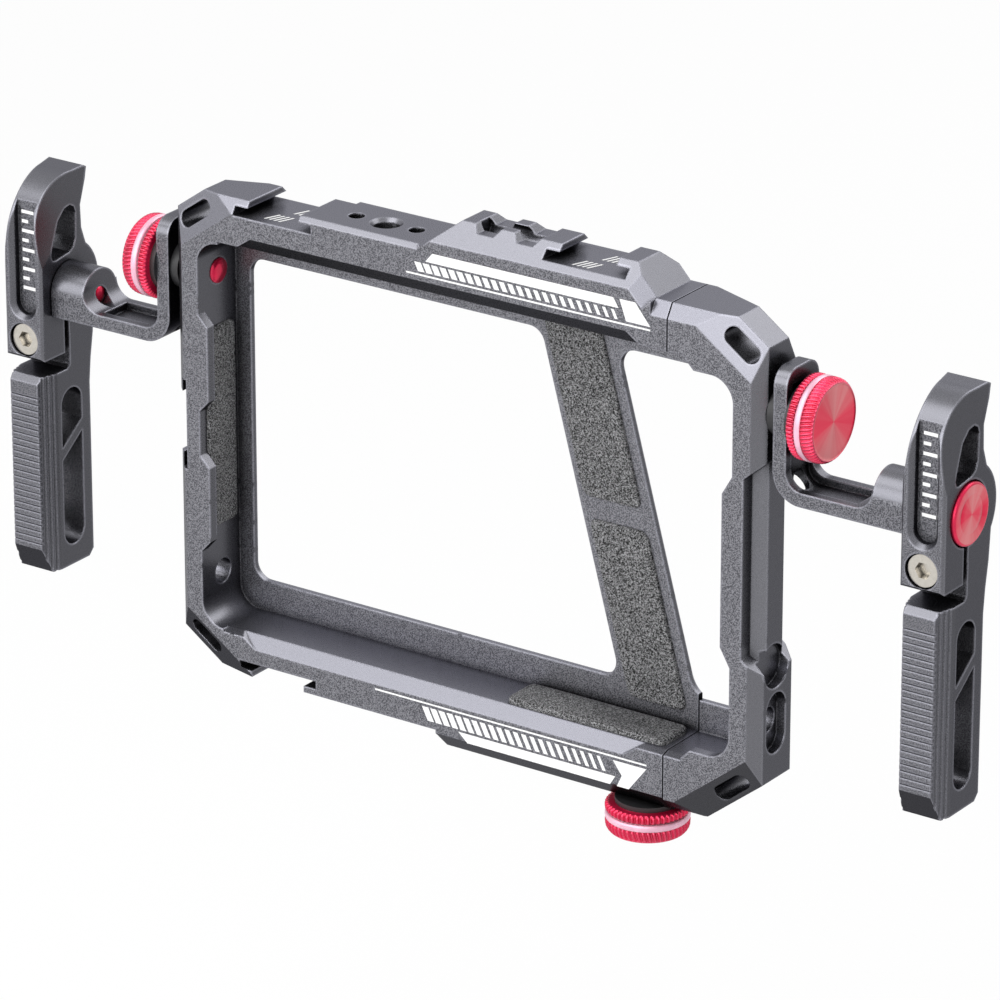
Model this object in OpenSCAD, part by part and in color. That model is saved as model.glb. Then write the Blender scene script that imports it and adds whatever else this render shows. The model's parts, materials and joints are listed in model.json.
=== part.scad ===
// Smartphone video rig: a phone cage in two sliding pieces with a bracketed handle on each side.
// Millimetres. X runs along the cage, Y away from the user, Z up.
// The origin is the middle of the tripod thread's mouth on the underside.

/* [Cage] */
// Width over both sides with the arm pushed home
cage_w = 136.4; // [132:0.2:150]
// Depth from the front face to the back face
cage_d = 13.6; // [13:0.2:16]
// Width of the sliding arm from the seam to its outer side
arm_w = 20.9; // [19.5:0.1:24]
// Thickness of each upright column
column_w = 6.2; // [5.8:0.1:7.5]
// Height of the phone's floor above the underside
base_h = 13.3; // [13:0.1:16]
// Height between the phone's floor and ceiling
phone_h = 80.8; // [78:0.2:90]
// Height of the top bar above the phone's ceiling
top_h = 9.8; // [9.4:0.1:12]
// Height of the left underside above the base block's underside
low_rise = 4.6; // [4:0.1:5]
// Height of the arm's underside above the base block's underside
arm_lift = 1.4; // [0.8:0.1:2.4]
// Reach of the base block to the left of the tripod thread
base_reach = 5.6; // [5:0.1:9]

/* [Corners] */
// Run along the top of the cut at each top corner
top_cut_x = 6.6; // [5:0.1:8]
// Drop down the side of the cut at each top corner
top_cut_z = 4.7; // [4:0.1:6]
// Run along the underside of the cut at the bottom left corner
low_cut_x = 9.0; // [7:0.1:10]
// Rise up the side of the cut at the bottom left corner
low_cut_z = 6.3; // [5:0.1:7]
// Run along the underside of the cut at the arm's bottom corner
arm_cut_x = 12.1; // [10:0.1:13]
// Rise up the side of the cut at the arm's bottom corner
arm_cut_z = 9.5; // [8:0.1:10]
// Length of each strap slot in a corner
strap_l = 8.4; // [6:0.1:9]
// Width of each strap slot in a corner
strap_w = 3.4; // [2.6:0.1:3.8]
// Distance of the strap slots inside the corner cuts
strap_inset = 3.2; // [2.8:0.1:4]
// Distance of the arm's lower strap slot inside its corner cut
arm_strap_inset = 2.6; // [2.4:0.1:3.4]
// Shift of that slot up along its corner cut
arm_strap_shift = 2; // [0:0.1:2.4]

/* [Bevels] */
// Depth of the bevels on the corners and sides
bevel_d = 2.4; // [1.6:0.1:3]
// Width of the bevels on the top corners
top_bevel_w = 7.0; // [5:0.1:8]
// Width of the bevels on the bottom corners
low_bevel_w = 5.6; // [4:0.1:6]
// Width of the bevels on the upright sides
side_bevel_w = 2.4; // [1.5:0.1:3]
// Width of the bevel along the top edge
edge_bevel_w = 2.8; // [2:0.1:3.4]
// Depth of the bevel along the top edge
edge_bevel_d = 1.7; // [1:0.1:2.4]
// Width and depth of the bevel on the centre block
block_bevel = 0.9; // [0.5:0.1:1.5]
// Width of the bevel along the rail
rail_bevel_w = 4.2; // [3:0.1:5]
// Depth of the bevel along the rail
rail_bevel_d = 3.8; // [3:0.1:4.5]
// Width of the bevel behind the rail
rail_back_w = 2.7; // [1.5:0.1:3.5]
// Depth of the bevel behind the rail
rail_back_d = 2.8; // [1.5:0.1:3.2]
// Width and depth of the bevel under the base block
base_bevel = 3.9; // [3:0.1:4.2]
// Width and depth of the bevel under the arm
arm_bevel = 2.2; // [1.5:0.1:3]
// Depth of the bevels round the back
back_bevel_d = 1.4; // [0.8:0.1:2]
// Width of the bevels round the back
back_bevel_w = 2.6; // [1.5:0.1:3]
// Depth of the wide bevels behind the top corners
corner_back_d = 4.5; // [3:0.1:5]
// Depth of the bevels behind the sides
side_back_d = 1.6; // [0.8:0.1:2.2]

/* [Phone space] */
// Radius of the phone space's corners
phone_r = 5; // [3:0.1:7]
// Thickness of the back lip
lip_t = 1.2; // [1:0.1:1.6]
// Reach of the back lip above the floor and below the ceiling
lip_w = 6.4; // [4:0.1:8]
// Reach of the back lip beside each column
lip_side_w = 3.6; // [2.5:0.1:4.5]
// Radius of the back window's corners
window_r = 3.5; // [2:0.1:5]
// Height of the bevels in front of the floor and the ceiling
mouth_h = 2.7; // [1.5:0.1:3]
// Depth of the bevels in front of the floor and the ceiling
mouth_d = 1.95; // [1.2:0.05:2.4]
// Height of the fine bevels along the whole floor and ceiling
rim_h = 0.6; // [0.3:0.1:0.9]
// Depth of the fine bevels along the whole floor and ceiling
rim_depth = 1.7; // [0.8:0.1:1.9]
// Distance of the large bevels from each side of the cage
mouth_inset = 19.2; // [17:0.1:24]
// Distance of the large bevels from the seam
mouth_seam = 9.3; // [7:0.1:12]
// Run of the sloped ends of the large bevels
mouth_run = 4; // [2:0.1:5]
// Reach of the front lips over the phone's ends
bump_w = 2.2; // [1.4:0.1:2.8]
// Thickness of the front lips
bump_t = 2.2; // [1.6:0.1:2.6]
// Length of each of the two left front lips
bump_l = 15.5; // [12:0.1:18]
// Height between the middles of the two left front lips
bump_gap = 29.5; // [24:0.1:34]
// Length of the arm's front lip
arm_bump_l = 31; // [26:0.1:36]
// Run of the sloped ends of the left front lips
bump_run = 2.4; // [1.4:0.1:3]
// Run of the sloped ends of the arm's front lip
arm_bump_run = 3.8; // [2:0.1:4.4]
// Reach of the arm's front lips at its two corners
corner_lip = 1.9; // [1:0.1:2.4]

/* [Back bar] */
// Width of the slanted bar measured level
bar_w = 17; // [14:0.1:20]
// Middle of the slanted bar from the seam
bar_seam = 18.9; // [17:0.1:24]
// Tilt of the slanted bar from upright, in degrees
bar_tilt = 15.3; // [8:0.1:18]
// Radius of the slanted bar's upper roots
bar_root_r = 3.6; // [2:0.1:5]
// Radius of the slanted bar's lower left root
bar_heel_r = 3.2; // [2:0.1:4]
// Radius of the slanted bar's lower right root
bar_toe_r = 6; // [3:0.1:7]

/* [Waist] */
// Depth of the step at the front of the arm's waist
waist_d = 3.7; // [3:0.1:4.4]
// Width of that step from front to back
waist_step = 3.2; // [2:0.1:3.6]
// Lean of the step's inner face
waist_lean = 1.4; // [0.6:0.1:2]
// Depth of the waist behind the step
waist_side = 0.9; // [0.5:0.1:1.4]
// Distance of the waist's back slope behind the middle
waist_back = 3.2; // [2:0.1:4.5]
// Height of the waist above the middle of the phone space
waist_top = 19.4; // [18:0.1:20]
// Height of the waist below the middle of the phone space
waist_low = 17; // [16:0.1:18]
// Rise of the waist's sloped ends for each unit of depth
waist_rise = 0.87; // [0.6:0.01:1]
// Radius of the round cup under the waist
cup_r = 4.3; // [3:0.1:4.6]
// Depth of the cup
cup_d = 2.2; // [1.6:0.1:2.8]
// Height of the cup's middle below the waist's end
cup_drop = 2.8; // [2:0.1:3]

/* [Cold shoes] */
// Opening between the two lips of a shoe
shoe_neck = 12.8; // [12.5:0.05:13.2]
// Width of the slot under the lips
shoe_slot = 18.7; // [18.6:0.05:19.2]
// Thickness of the lips
shoe_lip = 1.3; // [1:0.05:1.6]
// Depth of the shoe from the lips' top to its floor
shoe_h = 3.0; // [2.8:0.05:3.4]
// Middle of the left top and bottom shoes from the left side
shoe_inset = 24.4; // [23:0.1:27]
// Middle of the right top shoe from the seam
shoe_seam = 19.5; // [18.5:0.1:22]
// Height of the side shoe's middle
side_shoe_z = 54.9; // [52:0.1:58]

/* [Rail] */
// Height that the rail stands above the top bar
rail_rise = 5.5; // [4:0.1:7]
// Width of each rail tooth
tooth_w = 3.0; // [2:0.1:4]
// Width of each rail slot at its top
notch_w = 6.0; // [5:0.1:7]
// Width of each rail slot at its floor
notch_floor = 3.7; // [3:0.1:4.5]
// Depth of the rail slots
notch_d = 1.5; // [1:0.1:2]
// Width of the block beside each lip of the right top shoe
shoe_block = 4.9; // [4.2:0.1:6]
// Run of the rail's left slope
rail_run_left = 7; // [4:0.1:9]
// Run of the rail's right slope
rail_run_right = 5.1; // [3:0.1:6]
// Radius of the round channel under the rail slots
channel_r = 1.9; // [1:0.1:2.2]

/* [Threads] */
// Radius of a quarter-inch thread's wall
thread_r = 2.56; // [2.5:0.01:2.7]
// Radius of the rim in front of a thread
rim_r = 3.25; // [3:0.05:3.6]
// Depth of the rim
rim_d = 0.7; // [0.4:0.1:1]
// Depth of the top thread
top_thread_d = 7; // [5:0.1:8]
// Depth of the tripod thread
base_thread_d = 5.8; // [4.5:0.1:6.2]
// Distance of the top thread from the left shoe's middle
thread_shoe = 22.4; // [21:0.1:25]
// Radius of the locating holes beside the top thread
locate_r = 1.6; // [1.2:0.05:2]
// Distance between the two locating holes
locate_gap = 14.1; // [12:0.1:15]
// Depth of the locating holes
locate_d = 4; // [2:0.1:6]
// Height of the side threads that the brackets use
side_thread_z = 85.8; // [82:0.1:88]
// Height of the free side threads
free_thread_z = 22.4; // [21:0.1:28]
// Width of the pocket round a free side thread
pocket_w = 6.6; // [6:0.1:7.4]
// Height of the pocket round a free side thread
pocket_h = 12.4; // [9:0.1:15]
// Depth of the pocket round a free side thread
pocket_d = 2; // [1:0.1:2.4]

/* [Slide] */
// Travel of the sliding arm
travel = 40; // [30:1:42]
// Radius of the upper guide rod
rod_r = 2.4; // [2:0.05:2.6]
// Height of the rod above the phone's ceiling
rod_lift = 4.9; // [4.6:0.1:5.5]
// Grip of the rod in the arm
rod_grip = 9; // [7:0.1:9.5]
// Depth of the tongue from front to back
tongue_d = 8; // [7:0.1:8.4]
// Thickness of the tongue
tongue_t = 4.6; // [3.6:0.1:4.8]
// Height of the tongue above the underside
tongue_z = 7; // [6.8:0.1:7.4]
// Length of the tongue and rod inside the frame
slide_l = 54.3; // [50:0.1:56]
// Grip of the tongue in the arm
tongue_grip = 7.2; // [6:0.1:7.4]
// Distance of the tongue screws from the seam
tongue_screw_x = 3.7; // [3:0.1:4.4]
// Distance between the two tongue screws
tongue_screw_gap = 4.4; // [4.2:0.1:4.8]
// Radius of the tongue screws
tongue_screw_r = 1; // [0.8:0.05:1.2]
// Radius of the tongue screws' heads
tongue_head_r = 1.8; // [1.5:0.05:1.9]
// Height of the tongue screws' heads
tongue_head_h = 1.4; // [1:0.1:2]
// Radius of the rod's set screw
set_r = 1.5; // [1:0.05:1.8]
// Distance of the rod's set screw from the seam
set_x = 4.5; // [3:0.1:6]
// Radius of the travel stop screw
stop_r = 1.25; // [1:0.05:1.5]
// Distance of the travel stop screw from the seam
stop_seam = 3.8; // [3:0.1:5]
// Depth of the stop's groove in the tongue
stop_groove_d = 1.4; // [1:0.1:1.8]
// Distance of the lock knob's axis from the seam
lock_seam = 7.8; // [7:0.1:9]
// Thickness of the brass pressure pad
press_t = 0.8; // [0.5:0.1:1]

/* [Knobs] */
// Radius of the knurled rings
knob_r = 8.3; // [7:0.1:9]
// Height of a knob
knob_h = 5.9; // [5:0.1:8]
// Height of the inner knurled ring
knob_ring = 1.9; // [1.4:0.1:2.4]
// Height of the smooth band between the rings
knob_band = 1.4; // [0.8:0.1:1.8]
// Depth of the smooth band
knob_band_d = 0.5; // [0.2:0.1:0.8]
// Chamfer on the edges of the rings
knob_chamfer = 0.5; // [0.2:0.05:0.6]
// Width of the rim round the dished face
knob_rim = 1.3; // [0.8:0.1:2]
// Depth of the dished face
knob_dish = 0.5; // [0.2:0.1:0.8]
// Radius of the knobs' studs
stud_r = 2.5; // [2.4:0.01:2.5]
// Reach of a side stud past the column's inner wall
stud_reach = 0.3; // [0:0.1:0.6]
// Radius of the washers under the knobs
washer_r = 6.4; // [5:0.1:7.4]
// Thickness of the side knobs' washers
washer_t = 1.1; // [1:0.1:2]
// Thickness of the lock knob's washer
lock_washer_t = 1; // [0.6:0.1:1.6]
// Radius of the holes of the washers, the spacers and the brackets
washer_hole_r = 2.9; // [2.8:0.05:3.2]

/* [Brackets] */
// Gap between a column and its bracket, filled by the spacer
spacer_t = 1.8; // [1:0.1:2.5]
// Radius of the spacer
spacer_r = 5; // [4:0.1:5.2]
// Thickness of the bracket's upright plate
plate_t = 2.9; // [2:0.1:3]
// Width of the bracket from front to back
plate_w = 11; // [10.6:0.1:13]
// Height of the upright plate above the knob's axis
plate_top = 10; // [8.5:0.1:12]
// Radius of the plate's top corners
plate_r = 3.5; // [2:0.1:4.5]
// Thickness of the level arm
reach_t = 2.8; // [2.6:0.1:4]
// Outer radius of the bend
bend_r = 6; // [4:0.1:7]
// Inner radius of the bend
bend_inner_r = 3.5; // [2:0.1:4]
// Width of the trough along the level arm
trough_w = 7.2; // [5:0.1:8]
// Depth of the trough along the level arm
trough_d = 1.5; // [0.8:0.1:1.8]
// Depth of the trough on the upright plate
trough_plate_d = 0.8; // [0.4:0.1:1.1]
// Height of the trough's top above the knob's axis
trough_top = 7; // [5:0.1:8]
// Radius of the hole through the bend
bend_hole_r = 2; // [1:0.1:3]
// Distance of the hub's inner face from the plate's outer face
hub_reach = 18.7; // [18:0.1:24]
// Radius of the hub between bracket and handle
hub_r = 5.6; // [5.4:0.1:6]
// Length of the hub between its inner face and the handle
hub_l = 7.8; // [5:0.1:9]
// Radius of the hub's shaft inside the handle
shaft_r = 5.2; // [4.6:0.05:5.3]
// Radius of the fillet between arm and hub
hub_fillet = 4; // [2:0.1:5]

/* [Handles] */
// Width of a handle
handle_w = 9.4; // [8.6:0.1:12]
// Height of the pivot axis
pivot_z = 74.4; // [73:0.1:76]
// Height of the handle's bottom
handle_z = 15; // [12:0.1:18]
// Height of the horn above the pivot
horn_h = 23.4; // [22:0.1:26]
// Radius of the horn's curved front
horn_r = 11.3; // [8:0.1:12]
// Distance of the horn's side folds behind the pivot at their upper ends
fold_y = 4.9; // [3:0.1:6]
// Height of the folds' upper ends above the pivot
fold_z = 19.5; // [17:0.1:21]
// Slant of the folds from level, in degrees
fold_a = 47; // [40:1:55]
// Width of the horn's side bevels at their deepest
fold_w = 1.6; // [0.6:0.1:2]
// Length of the horn's side bevels from fold to front
fold_l = 7.5; // [6:0.1:10]
// Reach of the jaw in front of the pivot
jaw_y = 8.5; // [8.2:0.1:10]
// Reach of the grip in front of the pivot
grip_y = 8.9; // [8:0.1:10]
// Reach of the grip behind the pivot
grip_back = 6.2; // [5.5:0.1:7.5]
// Radius of the boss behind the pivot
boss_r = 9.7; // [9:0.1:11]
// Number of ribs on the grip
rib_n = 24; // [12:1:30]
// Height of the ribs' lowest groove
rib_z = 21; // [18:0.1:24]
// Distance between two ribs
rib_pitch = 1.36; // [1.1:0.02:1.4]
// Depth of the grooves between the ribs
rib_d = 0.55; // [0.2:0.05:0.8]
// Height of the notch's floor
notch_z = 57.2; // [56:0.1:58]
// Height of the notch under the jaw
notch_h = 3.6; // [2.5:0.1:4]
// Width of the clamp's slit
slit_w = 1.5; // [1:0.1:2]
// Distance of the slit in front of the pivot
slit_y = 0.65; // [0.3:0.05:1.2]
// Width of the side bevels of the grip
grip_bevel_w = 1.3; // [0.6:0.1:1.8]
// Depth of the side bevels of the grip
grip_bevel_d = 4.9; // [3:0.1:5.5]
// Number of fine grooves down each side bevel of the grip
groove_n = 3; // [1:1:4]
// Radius of those grooves
groove_r = 0.3; // [0.2:0.05:0.4]
// Width and depth of the bevels beside the jaw's front
jaw_bevel = 0.6; // [0.3:0.1:0.9]
// Width of the side slot
slot_w = 6.4; // [4.5:0.1:6.8]
// Height of the side slot's bottom
slot_z = 19.3; // [18.5:0.1:22]
// Distance of the side slot behind the grip's front
slot_front = 5.95; // [5:0.05:6.5]
// Length of the side slot
slot_l = 33.6; // [28:0.1:34]
// Height of the diagonal web above the slot's bottom
web_rise = 22.8; // [16:0.1:25]
// Thickness of the diagonal web in the side slot
web_t = 2.6; // [1.6:0.1:4]
// Width of the recess on the jaw's front
label_w = 4.9; // [4:0.1:5.4]
// Height of the recess on the jaw's front
label_h = 26; // [24.5:0.1:28]
// Height of the recess's bottom
label_z = 69.8; // [69.3:0.1:72]
// Depth of the recess on the jaw's front
label_d = 2.3; // [1.6:0.1:2.4]
// Width of the bevel round the recess
label_bevel = 0.9; // [0.4:0.1:1]
// Depth of the bevel round the recess
label_bevel_d = 1.1; // [0.6:0.1:1.4]
// Radius of the pivot cap
cap_r = 6.15; // [5.6:0.05:6.4]
// Depth of the cap's seat in the handle
cap_seat = 1.1; // [0.8:0.1:1.6]
// Height that the cap stands out of the handle
cap_out = 0.7; // [0.3:0.1:1.2]
// Radius of the pivot cap's shank
shank_r = 1.75; // [1.4:0.05:2]
// Chamfer round the pivot cap's face
cap_chamfer = 0.4; // [0.2:0.05:0.6]
// Height of the clamp screw's axis
clamp_z = 64.7; // [64.5:0.1:65]
// Radius of the clamp screw
clamp_r = 2; // [1.5:0.05:2.1]
// Radius of the clamp screw's head
clamp_head_r = 3.2; // [2.8:0.05:3.3]
// Height of the clamp screw's head
clamp_head_h = 2; // [1.4:0.1:2.6]
// Depth that the head sits below the jaw's front
clamp_sink = 0.6; // [0.2:0.1:1.2]
// Width across the flats of the clamp screw's socket
clamp_hex = 3; // [2:0.1:3.4]

/* [Pads] */
// Thickness of the soft pads
pad_t = 0.8; // [0.5:0.1:1]
// Length of the wall pads
wall_pad_l = 42; // [30:0.5:48]
// Depth of the wall pads and the floor pad
pad_d = 9; // [7:0.1:9.4]
// Length of the floor pad
floor_pad_l = 36.5; // [28:0.5:38]
// Thickness of the floor pad
floor_pad_t = 1.4; // [0.8:0.1:1.8]
// Distance of the floor pad's end from the seam
floor_pad_end = 1.4; // [0.6:0.1:3]
// Width of the pads on the slanted bar, measured level
bar_pad_w = 13.3; // [9:0.1:14]
// Distance of those pads from the bar's left edge
bar_pad_inset = 1.4; // [0.8:0.1:2]
// Gap between the two pads on the slanted bar
bar_pad_gap = 4.4; // [2:0.1:6]
// Distance of the upper pad's top from the phone's ceiling
bar_pad_top = 3; // [1:0.1:6]
// Distance of the lower pad's foot from the phone's floor
bar_pad_foot = 3.4; // [2.4:0.1:6]

/* [Clearances] */
// Running clearance of a shaft in its hole
run_fit = 0.05; // [0.03:0.01:0.08]
// Clearance of fixed screws in their holes
screw_fit = 0.05; // [0.02:0.01:0.08]
// Clearance between a handle and its bracket's hub face
side_gap = 0.2; // [0.1:0.05:0.4]
// Clearance of screw heads and caps in their seats
seat_fit = 0.3; // [0.2:0.05:0.45]

/* [Hidden] */

// How far a cut runs past the face it cuts
over = 1;
// How far a long bevel cut runs past the ends of its edge
far = 16;
// Distance of the cuts between nodes from the threads and pockets
node_gap = 3;
// How far a bevel cut runs past its two edges, as a share of its size
share = 0.4;
$fn = 64;

half_d = cage_d / 2;
side_x = cage_w / 2;
seam_x = side_x - arm_w;
wall_x = side_x - column_w;
floor_z = base_h;
ceil_z = base_h + phone_h;
mid_z = base_h + phone_h / 2;
top_z = ceil_z + top_h;
rail_z = top_z + rail_rise;
lip_y = half_d - lip_t;

shoe_x = -side_x + shoe_inset;
rail_shoe_x = seam_x - shoe_seam;
rail_x1 = rail_shoe_x + shoe_neck / 2 + shoe_block - shoe_lip / 2;
block_x = rail_shoe_x - shoe_neck / 2 - shoe_block;
rail_x0 = block_x - 2 * notch_w - 2 * tooth_w;
notch_slope = (notch_w - notch_floor) / 2;
top_thread_x = shoe_x + thread_shoe;

mouth_x0 = -side_x + mouth_inset;
mouth_x1 = seam_x - mouth_seam;
front_y = -half_d;
bump_y = front_y + bump_t;

bar_x = seam_x - bar_seam;
bar_lean = tan(bar_tilt);
column_x = -wall_x + lip_side_w + window_r;
root_h = max(bar_root_r, bar_heel_r, bar_toe_r);
rail_start = rail_x0 - rail_run_left;
head_z = side_thread_z - thread_r - node_gap;
foot_z = free_thread_z + pocket_h / 2 + node_gap;
arm_foot_z = mid_z - waist_low - cup_drop + cup_r + node_gap / 2;
window_z0 = floor_z + lip_w;
window_z1 = ceil_z - lip_w;

rod_z = ceil_z + rod_lift;
slide_x0 = seam_x - slide_l;
tongue_mid = tongue_z + tongue_t / 2;
stop_x = seam_x - stop_seam;
stop_tip_y = tongue_d / 2 - stop_groove_d + side_gap;
lock_x = seam_x - lock_seam;

spacer_x = side_x + spacer_t;
plate_x = spacer_x + plate_t;
knob_x = plate_x + washer_t;
reach_z = pivot_z - hub_r + 1;
hub_x = plate_x + hub_reach;
handle_x0 = hub_x + hub_l + side_gap;
handle_x1 = handle_x0 + handle_w;
handle_mid = handle_x0 + handle_w / 2;
shaft_x1 = handle_x1 - cap_seat;
horn_z = pivot_z + horn_h;
jaw_z = notch_z + notch_h;
web_z = slot_z + web_rise;

// Solids drawn along one axis from a flat outline
module along_x(x0, x1) { translate([x0, 0, 0]) rotate([90, 0, 90]) linear_extrude(x1 - x0) children(); }
module along_y(y0, y1) { translate([0, y1, 0]) rotate([90, 0, 0]) linear_extrude(y1 - y0) children(); }
module along_z(z0, z1) { translate([0, 0, z0]) linear_extrude(z1 - z0) children(); }
module rod_along_x(x0, x1, y, z, r) { translate([x0, y, z]) rotate([0, 90, 0]) cylinder(h = x1 - x0, r = r); }
module rod_along_y(y0, y1, x, z, r) { translate([x, y1, z]) rotate([90, 0, 0]) cylinder(h = y1 - y0, r = r); }
module rod_along_z(z0, z1, x, y, r) { translate([x, y, z0]) cylinder(h = z1 - z0, r = r); }
module on_left() { mirror([1, 0, 0]) children(); }

// Wedge that cuts a bevel on the edge p to q; the outside lies on the left of that direction
module bevel(p, q, w, d, before = far, after = far) {
    run = q - p;
    translate([p[0], 0, p[1]]) rotate([0, -atan2(run[1], run[0]), 0])
        along_x(-before, norm(run) + after)
            polygon([
                [front_y - share * d, -w - share * w],
                [front_y + d + share * d, share * w],
                [front_y - share * d, share * w]
            ]);
}

// The same wedge at the back
module back_bevel(p, q, w, d, before = far, after = far) {
    mirror([0, 1, 0]) bevel(p, q, w, d, before, after);
}

// Outline of a slot with round ends, along the first axis
module obround(l, w) {
    square([l - w, w], center = true);
    for (s = [-1, 1]) translate([s * (l - w) / 2, 0]) circle(w / 2);
}

// Points of a shoe's T-slot in a level top edge, left to right
function shoe_points(x, z) = [
    [x - shoe_neck / 2, z], [x - shoe_neck / 2, z - shoe_lip], [x - shoe_slot / 2, z - shoe_lip],
    [x - shoe_slot / 2, z - shoe_h], [x + shoe_slot / 2, z - shoe_h], [x + shoe_slot / 2, z - shoe_lip],
    [x + shoe_neck / 2, z - shoe_lip], [x + shoe_neck / 2, z]
];

// Points of the rail's two slots, left to right
function notch_points(x) = [
    [x, rail_z], [x + notch_slope, rail_z - notch_d], [x + notch_w - notch_slope, rail_z - notch_d], [x + notch_w, rail_z]
];

// Outer outline of the main frame seen from the front
module frame_outline() {
    polygon(concat(
        [[-side_x, top_z - top_cut_z], [-side_x + top_cut_x, top_z]],
        shoe_points(shoe_x, top_z),
        [[rail_x0 - rail_run_left, top_z], [rail_x0, rail_z]],
        notch_points(rail_x0 + tooth_w),
        notch_points(rail_x0 + 2 * tooth_w + notch_w),
        shoe_points(rail_shoe_x, rail_z),
        [[rail_x1, rail_z], [rail_x1 + rail_run_right, top_z], [seam_x, top_z], [seam_x, 0]],
        [[-base_reach, 0], [-base_reach, low_rise]],
        [for (p = shoe_points(shoe_x, 0)) [2 * shoe_x - p[0], low_rise - p[1]]],
        [[-side_x + low_cut_x, low_rise], [-side_x, low_rise + low_cut_z]],
        [for (p = shoe_points(side_shoe_z, 0)) [-side_x - p[1], p[0]]]
    ));
}

// Outline of the arm seen from the front
module arm_outline() {
    polygon([
        [seam_x, top_z], [side_x - top_cut_x, top_z], [side_x, top_z - top_cut_z],
        [side_x, arm_lift + arm_cut_z], [side_x - arm_cut_x, arm_lift], [seam_x, arm_lift]
    ]);
}

// Rectangle with round corners on its left end
module round_left(x0, x1, z0, z1, r) {
    translate([x0 + r, z0]) square([x1 - x0 - r, z1 - z0]);
    translate([x0, z0 + r]) square([r + over, z1 - z0 - 2 * r]);
    for (z = [z0 + r, z1 - r]) translate([x0 + r, z]) circle(r);
}

// Material that rounds the inner corner p between the edges that leave it at the angles a and b
module fillet(p, a, b, r) {
    half = (b - a) / 2;
    way = [cos(a + half), sin(a + half)];
    mid = p + r / sin(half) * way;
    reach = r / tan(half);
    difference() {
        polygon([p - over * way, p + reach * [cos(a), sin(a)], mid, p + reach * [cos(b), sin(b)]]);
        translate(mid) circle(r);
    }
}

// Slanted back bar with rounded roots
module bar_outline() {
    rise = window_z1 - mid_z;
    tall = rise + over;
    low = bar_x + rise * bar_lean;
    high = bar_x - rise * bar_lean;
    half = bar_w / 2;
    polygon([for (p = [[-half, 1], [-half, -1], [half, -1], [half, 1]])
        [bar_x + p[0] - p[1] * tall * bar_lean, mid_z + p[1] * tall]]);
    fillet([high - half, window_z1], 180, 270 + bar_tilt, bar_root_r);
    fillet([high + half, window_z1], 270 + bar_tilt, 360, bar_root_r);
    fillet([low - half, window_z0], 90 + bar_tilt, 180, bar_heel_r);
    fillet([low + half, window_z0], 0, 90 + bar_tilt, bar_toe_r);
}

// Section of a bevel in front of the floor (s = -1) or the ceiling (s = 1)
module mouth_wedge(s, h, d) {
    polygon([for (p = [
        [front_y - share * d, phone_h / 2 + h + share * h],
        [front_y + d + share * d, phone_h / 2 - share * h],
        [front_y - share * d, phone_h / 2 - share * h]
    ]) [p[0], mid_z + s * p[1]]]);
}

// Large bevels in front of the floor and the ceiling with sloped ends
module mouth_bevels() {
    for (s = [-1, 1])
        intersection() {
            along_x(-side_x, seam_x) mouth_wedge(s, mouth_h, mouth_d);
            along_y(front_y - 2 * over, lip_y)
                polygon([for (p = [
                    [mouth_x0 - mouth_run, phone_h / 2 - 2 * mouth_h], [mouth_x0 - mouth_run, phone_h / 2],
                    [mouth_x0, phone_h / 2 + mouth_h], [mouth_x1, phone_h / 2 + mouth_h],
                    [mouth_x1 + mouth_run, phone_h / 2], [mouth_x1 + mouth_run, phone_h / 2 - 2 * mouth_h]
                ]) [p[0], mid_z + s * p[1]]]);
        }
}

// Front lip that holds one end of the phone, on the left
module front_lip(z, l, run) {
    along_y(front_y, bump_y)
        polygon([
            [-wall_x - over, z - l / 2 - run], [-wall_x, z - l / 2 - run], [-wall_x + bump_w, z - l / 2],
            [-wall_x + bump_w, z + l / 2], [-wall_x, z + l / 2 + run], [-wall_x - over, z + l / 2 + run]
        ]);
}

// Strap slot inside the corner cut p to q, moved along it by a shift
module strap_slot(p, q, inset = strap_inset, shift = 0) {
    run = q - p;
    side = [run[1], -run[0]] / norm(run);
    mid = (p + q) / 2 + inset * side + shift * run / norm(run);
    along_y(-half_d - over, half_d + over)
        translate(mid) rotate(atan2(run[1], run[0])) obround(strap_l, strap_w);
}

// Threaded hole with a rim, opening upwards at the given point
module thread(depth) {
    translate([0, 0, -depth]) cylinder(h = depth + over, r = thread_r);
    translate([0, 0, -rim_d]) cylinder(h = rim_d, r1 = thread_r, r2 = rim_r);
}

// Cuts in a column's outer side: the bracket's thread and the free thread with its pocket, on the right
module side_threads() {
    rod_along_x(wall_x - over, side_x + over, 0, side_thread_z, thread_r);
    rod_along_x(wall_x - over, side_x + over, 0, free_thread_z, thread_r);
    along_x(side_x - pocket_d, side_x + over)
        translate([0, free_thread_z]) rotate(90) obround(pocket_h, pocket_w);
}

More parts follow.
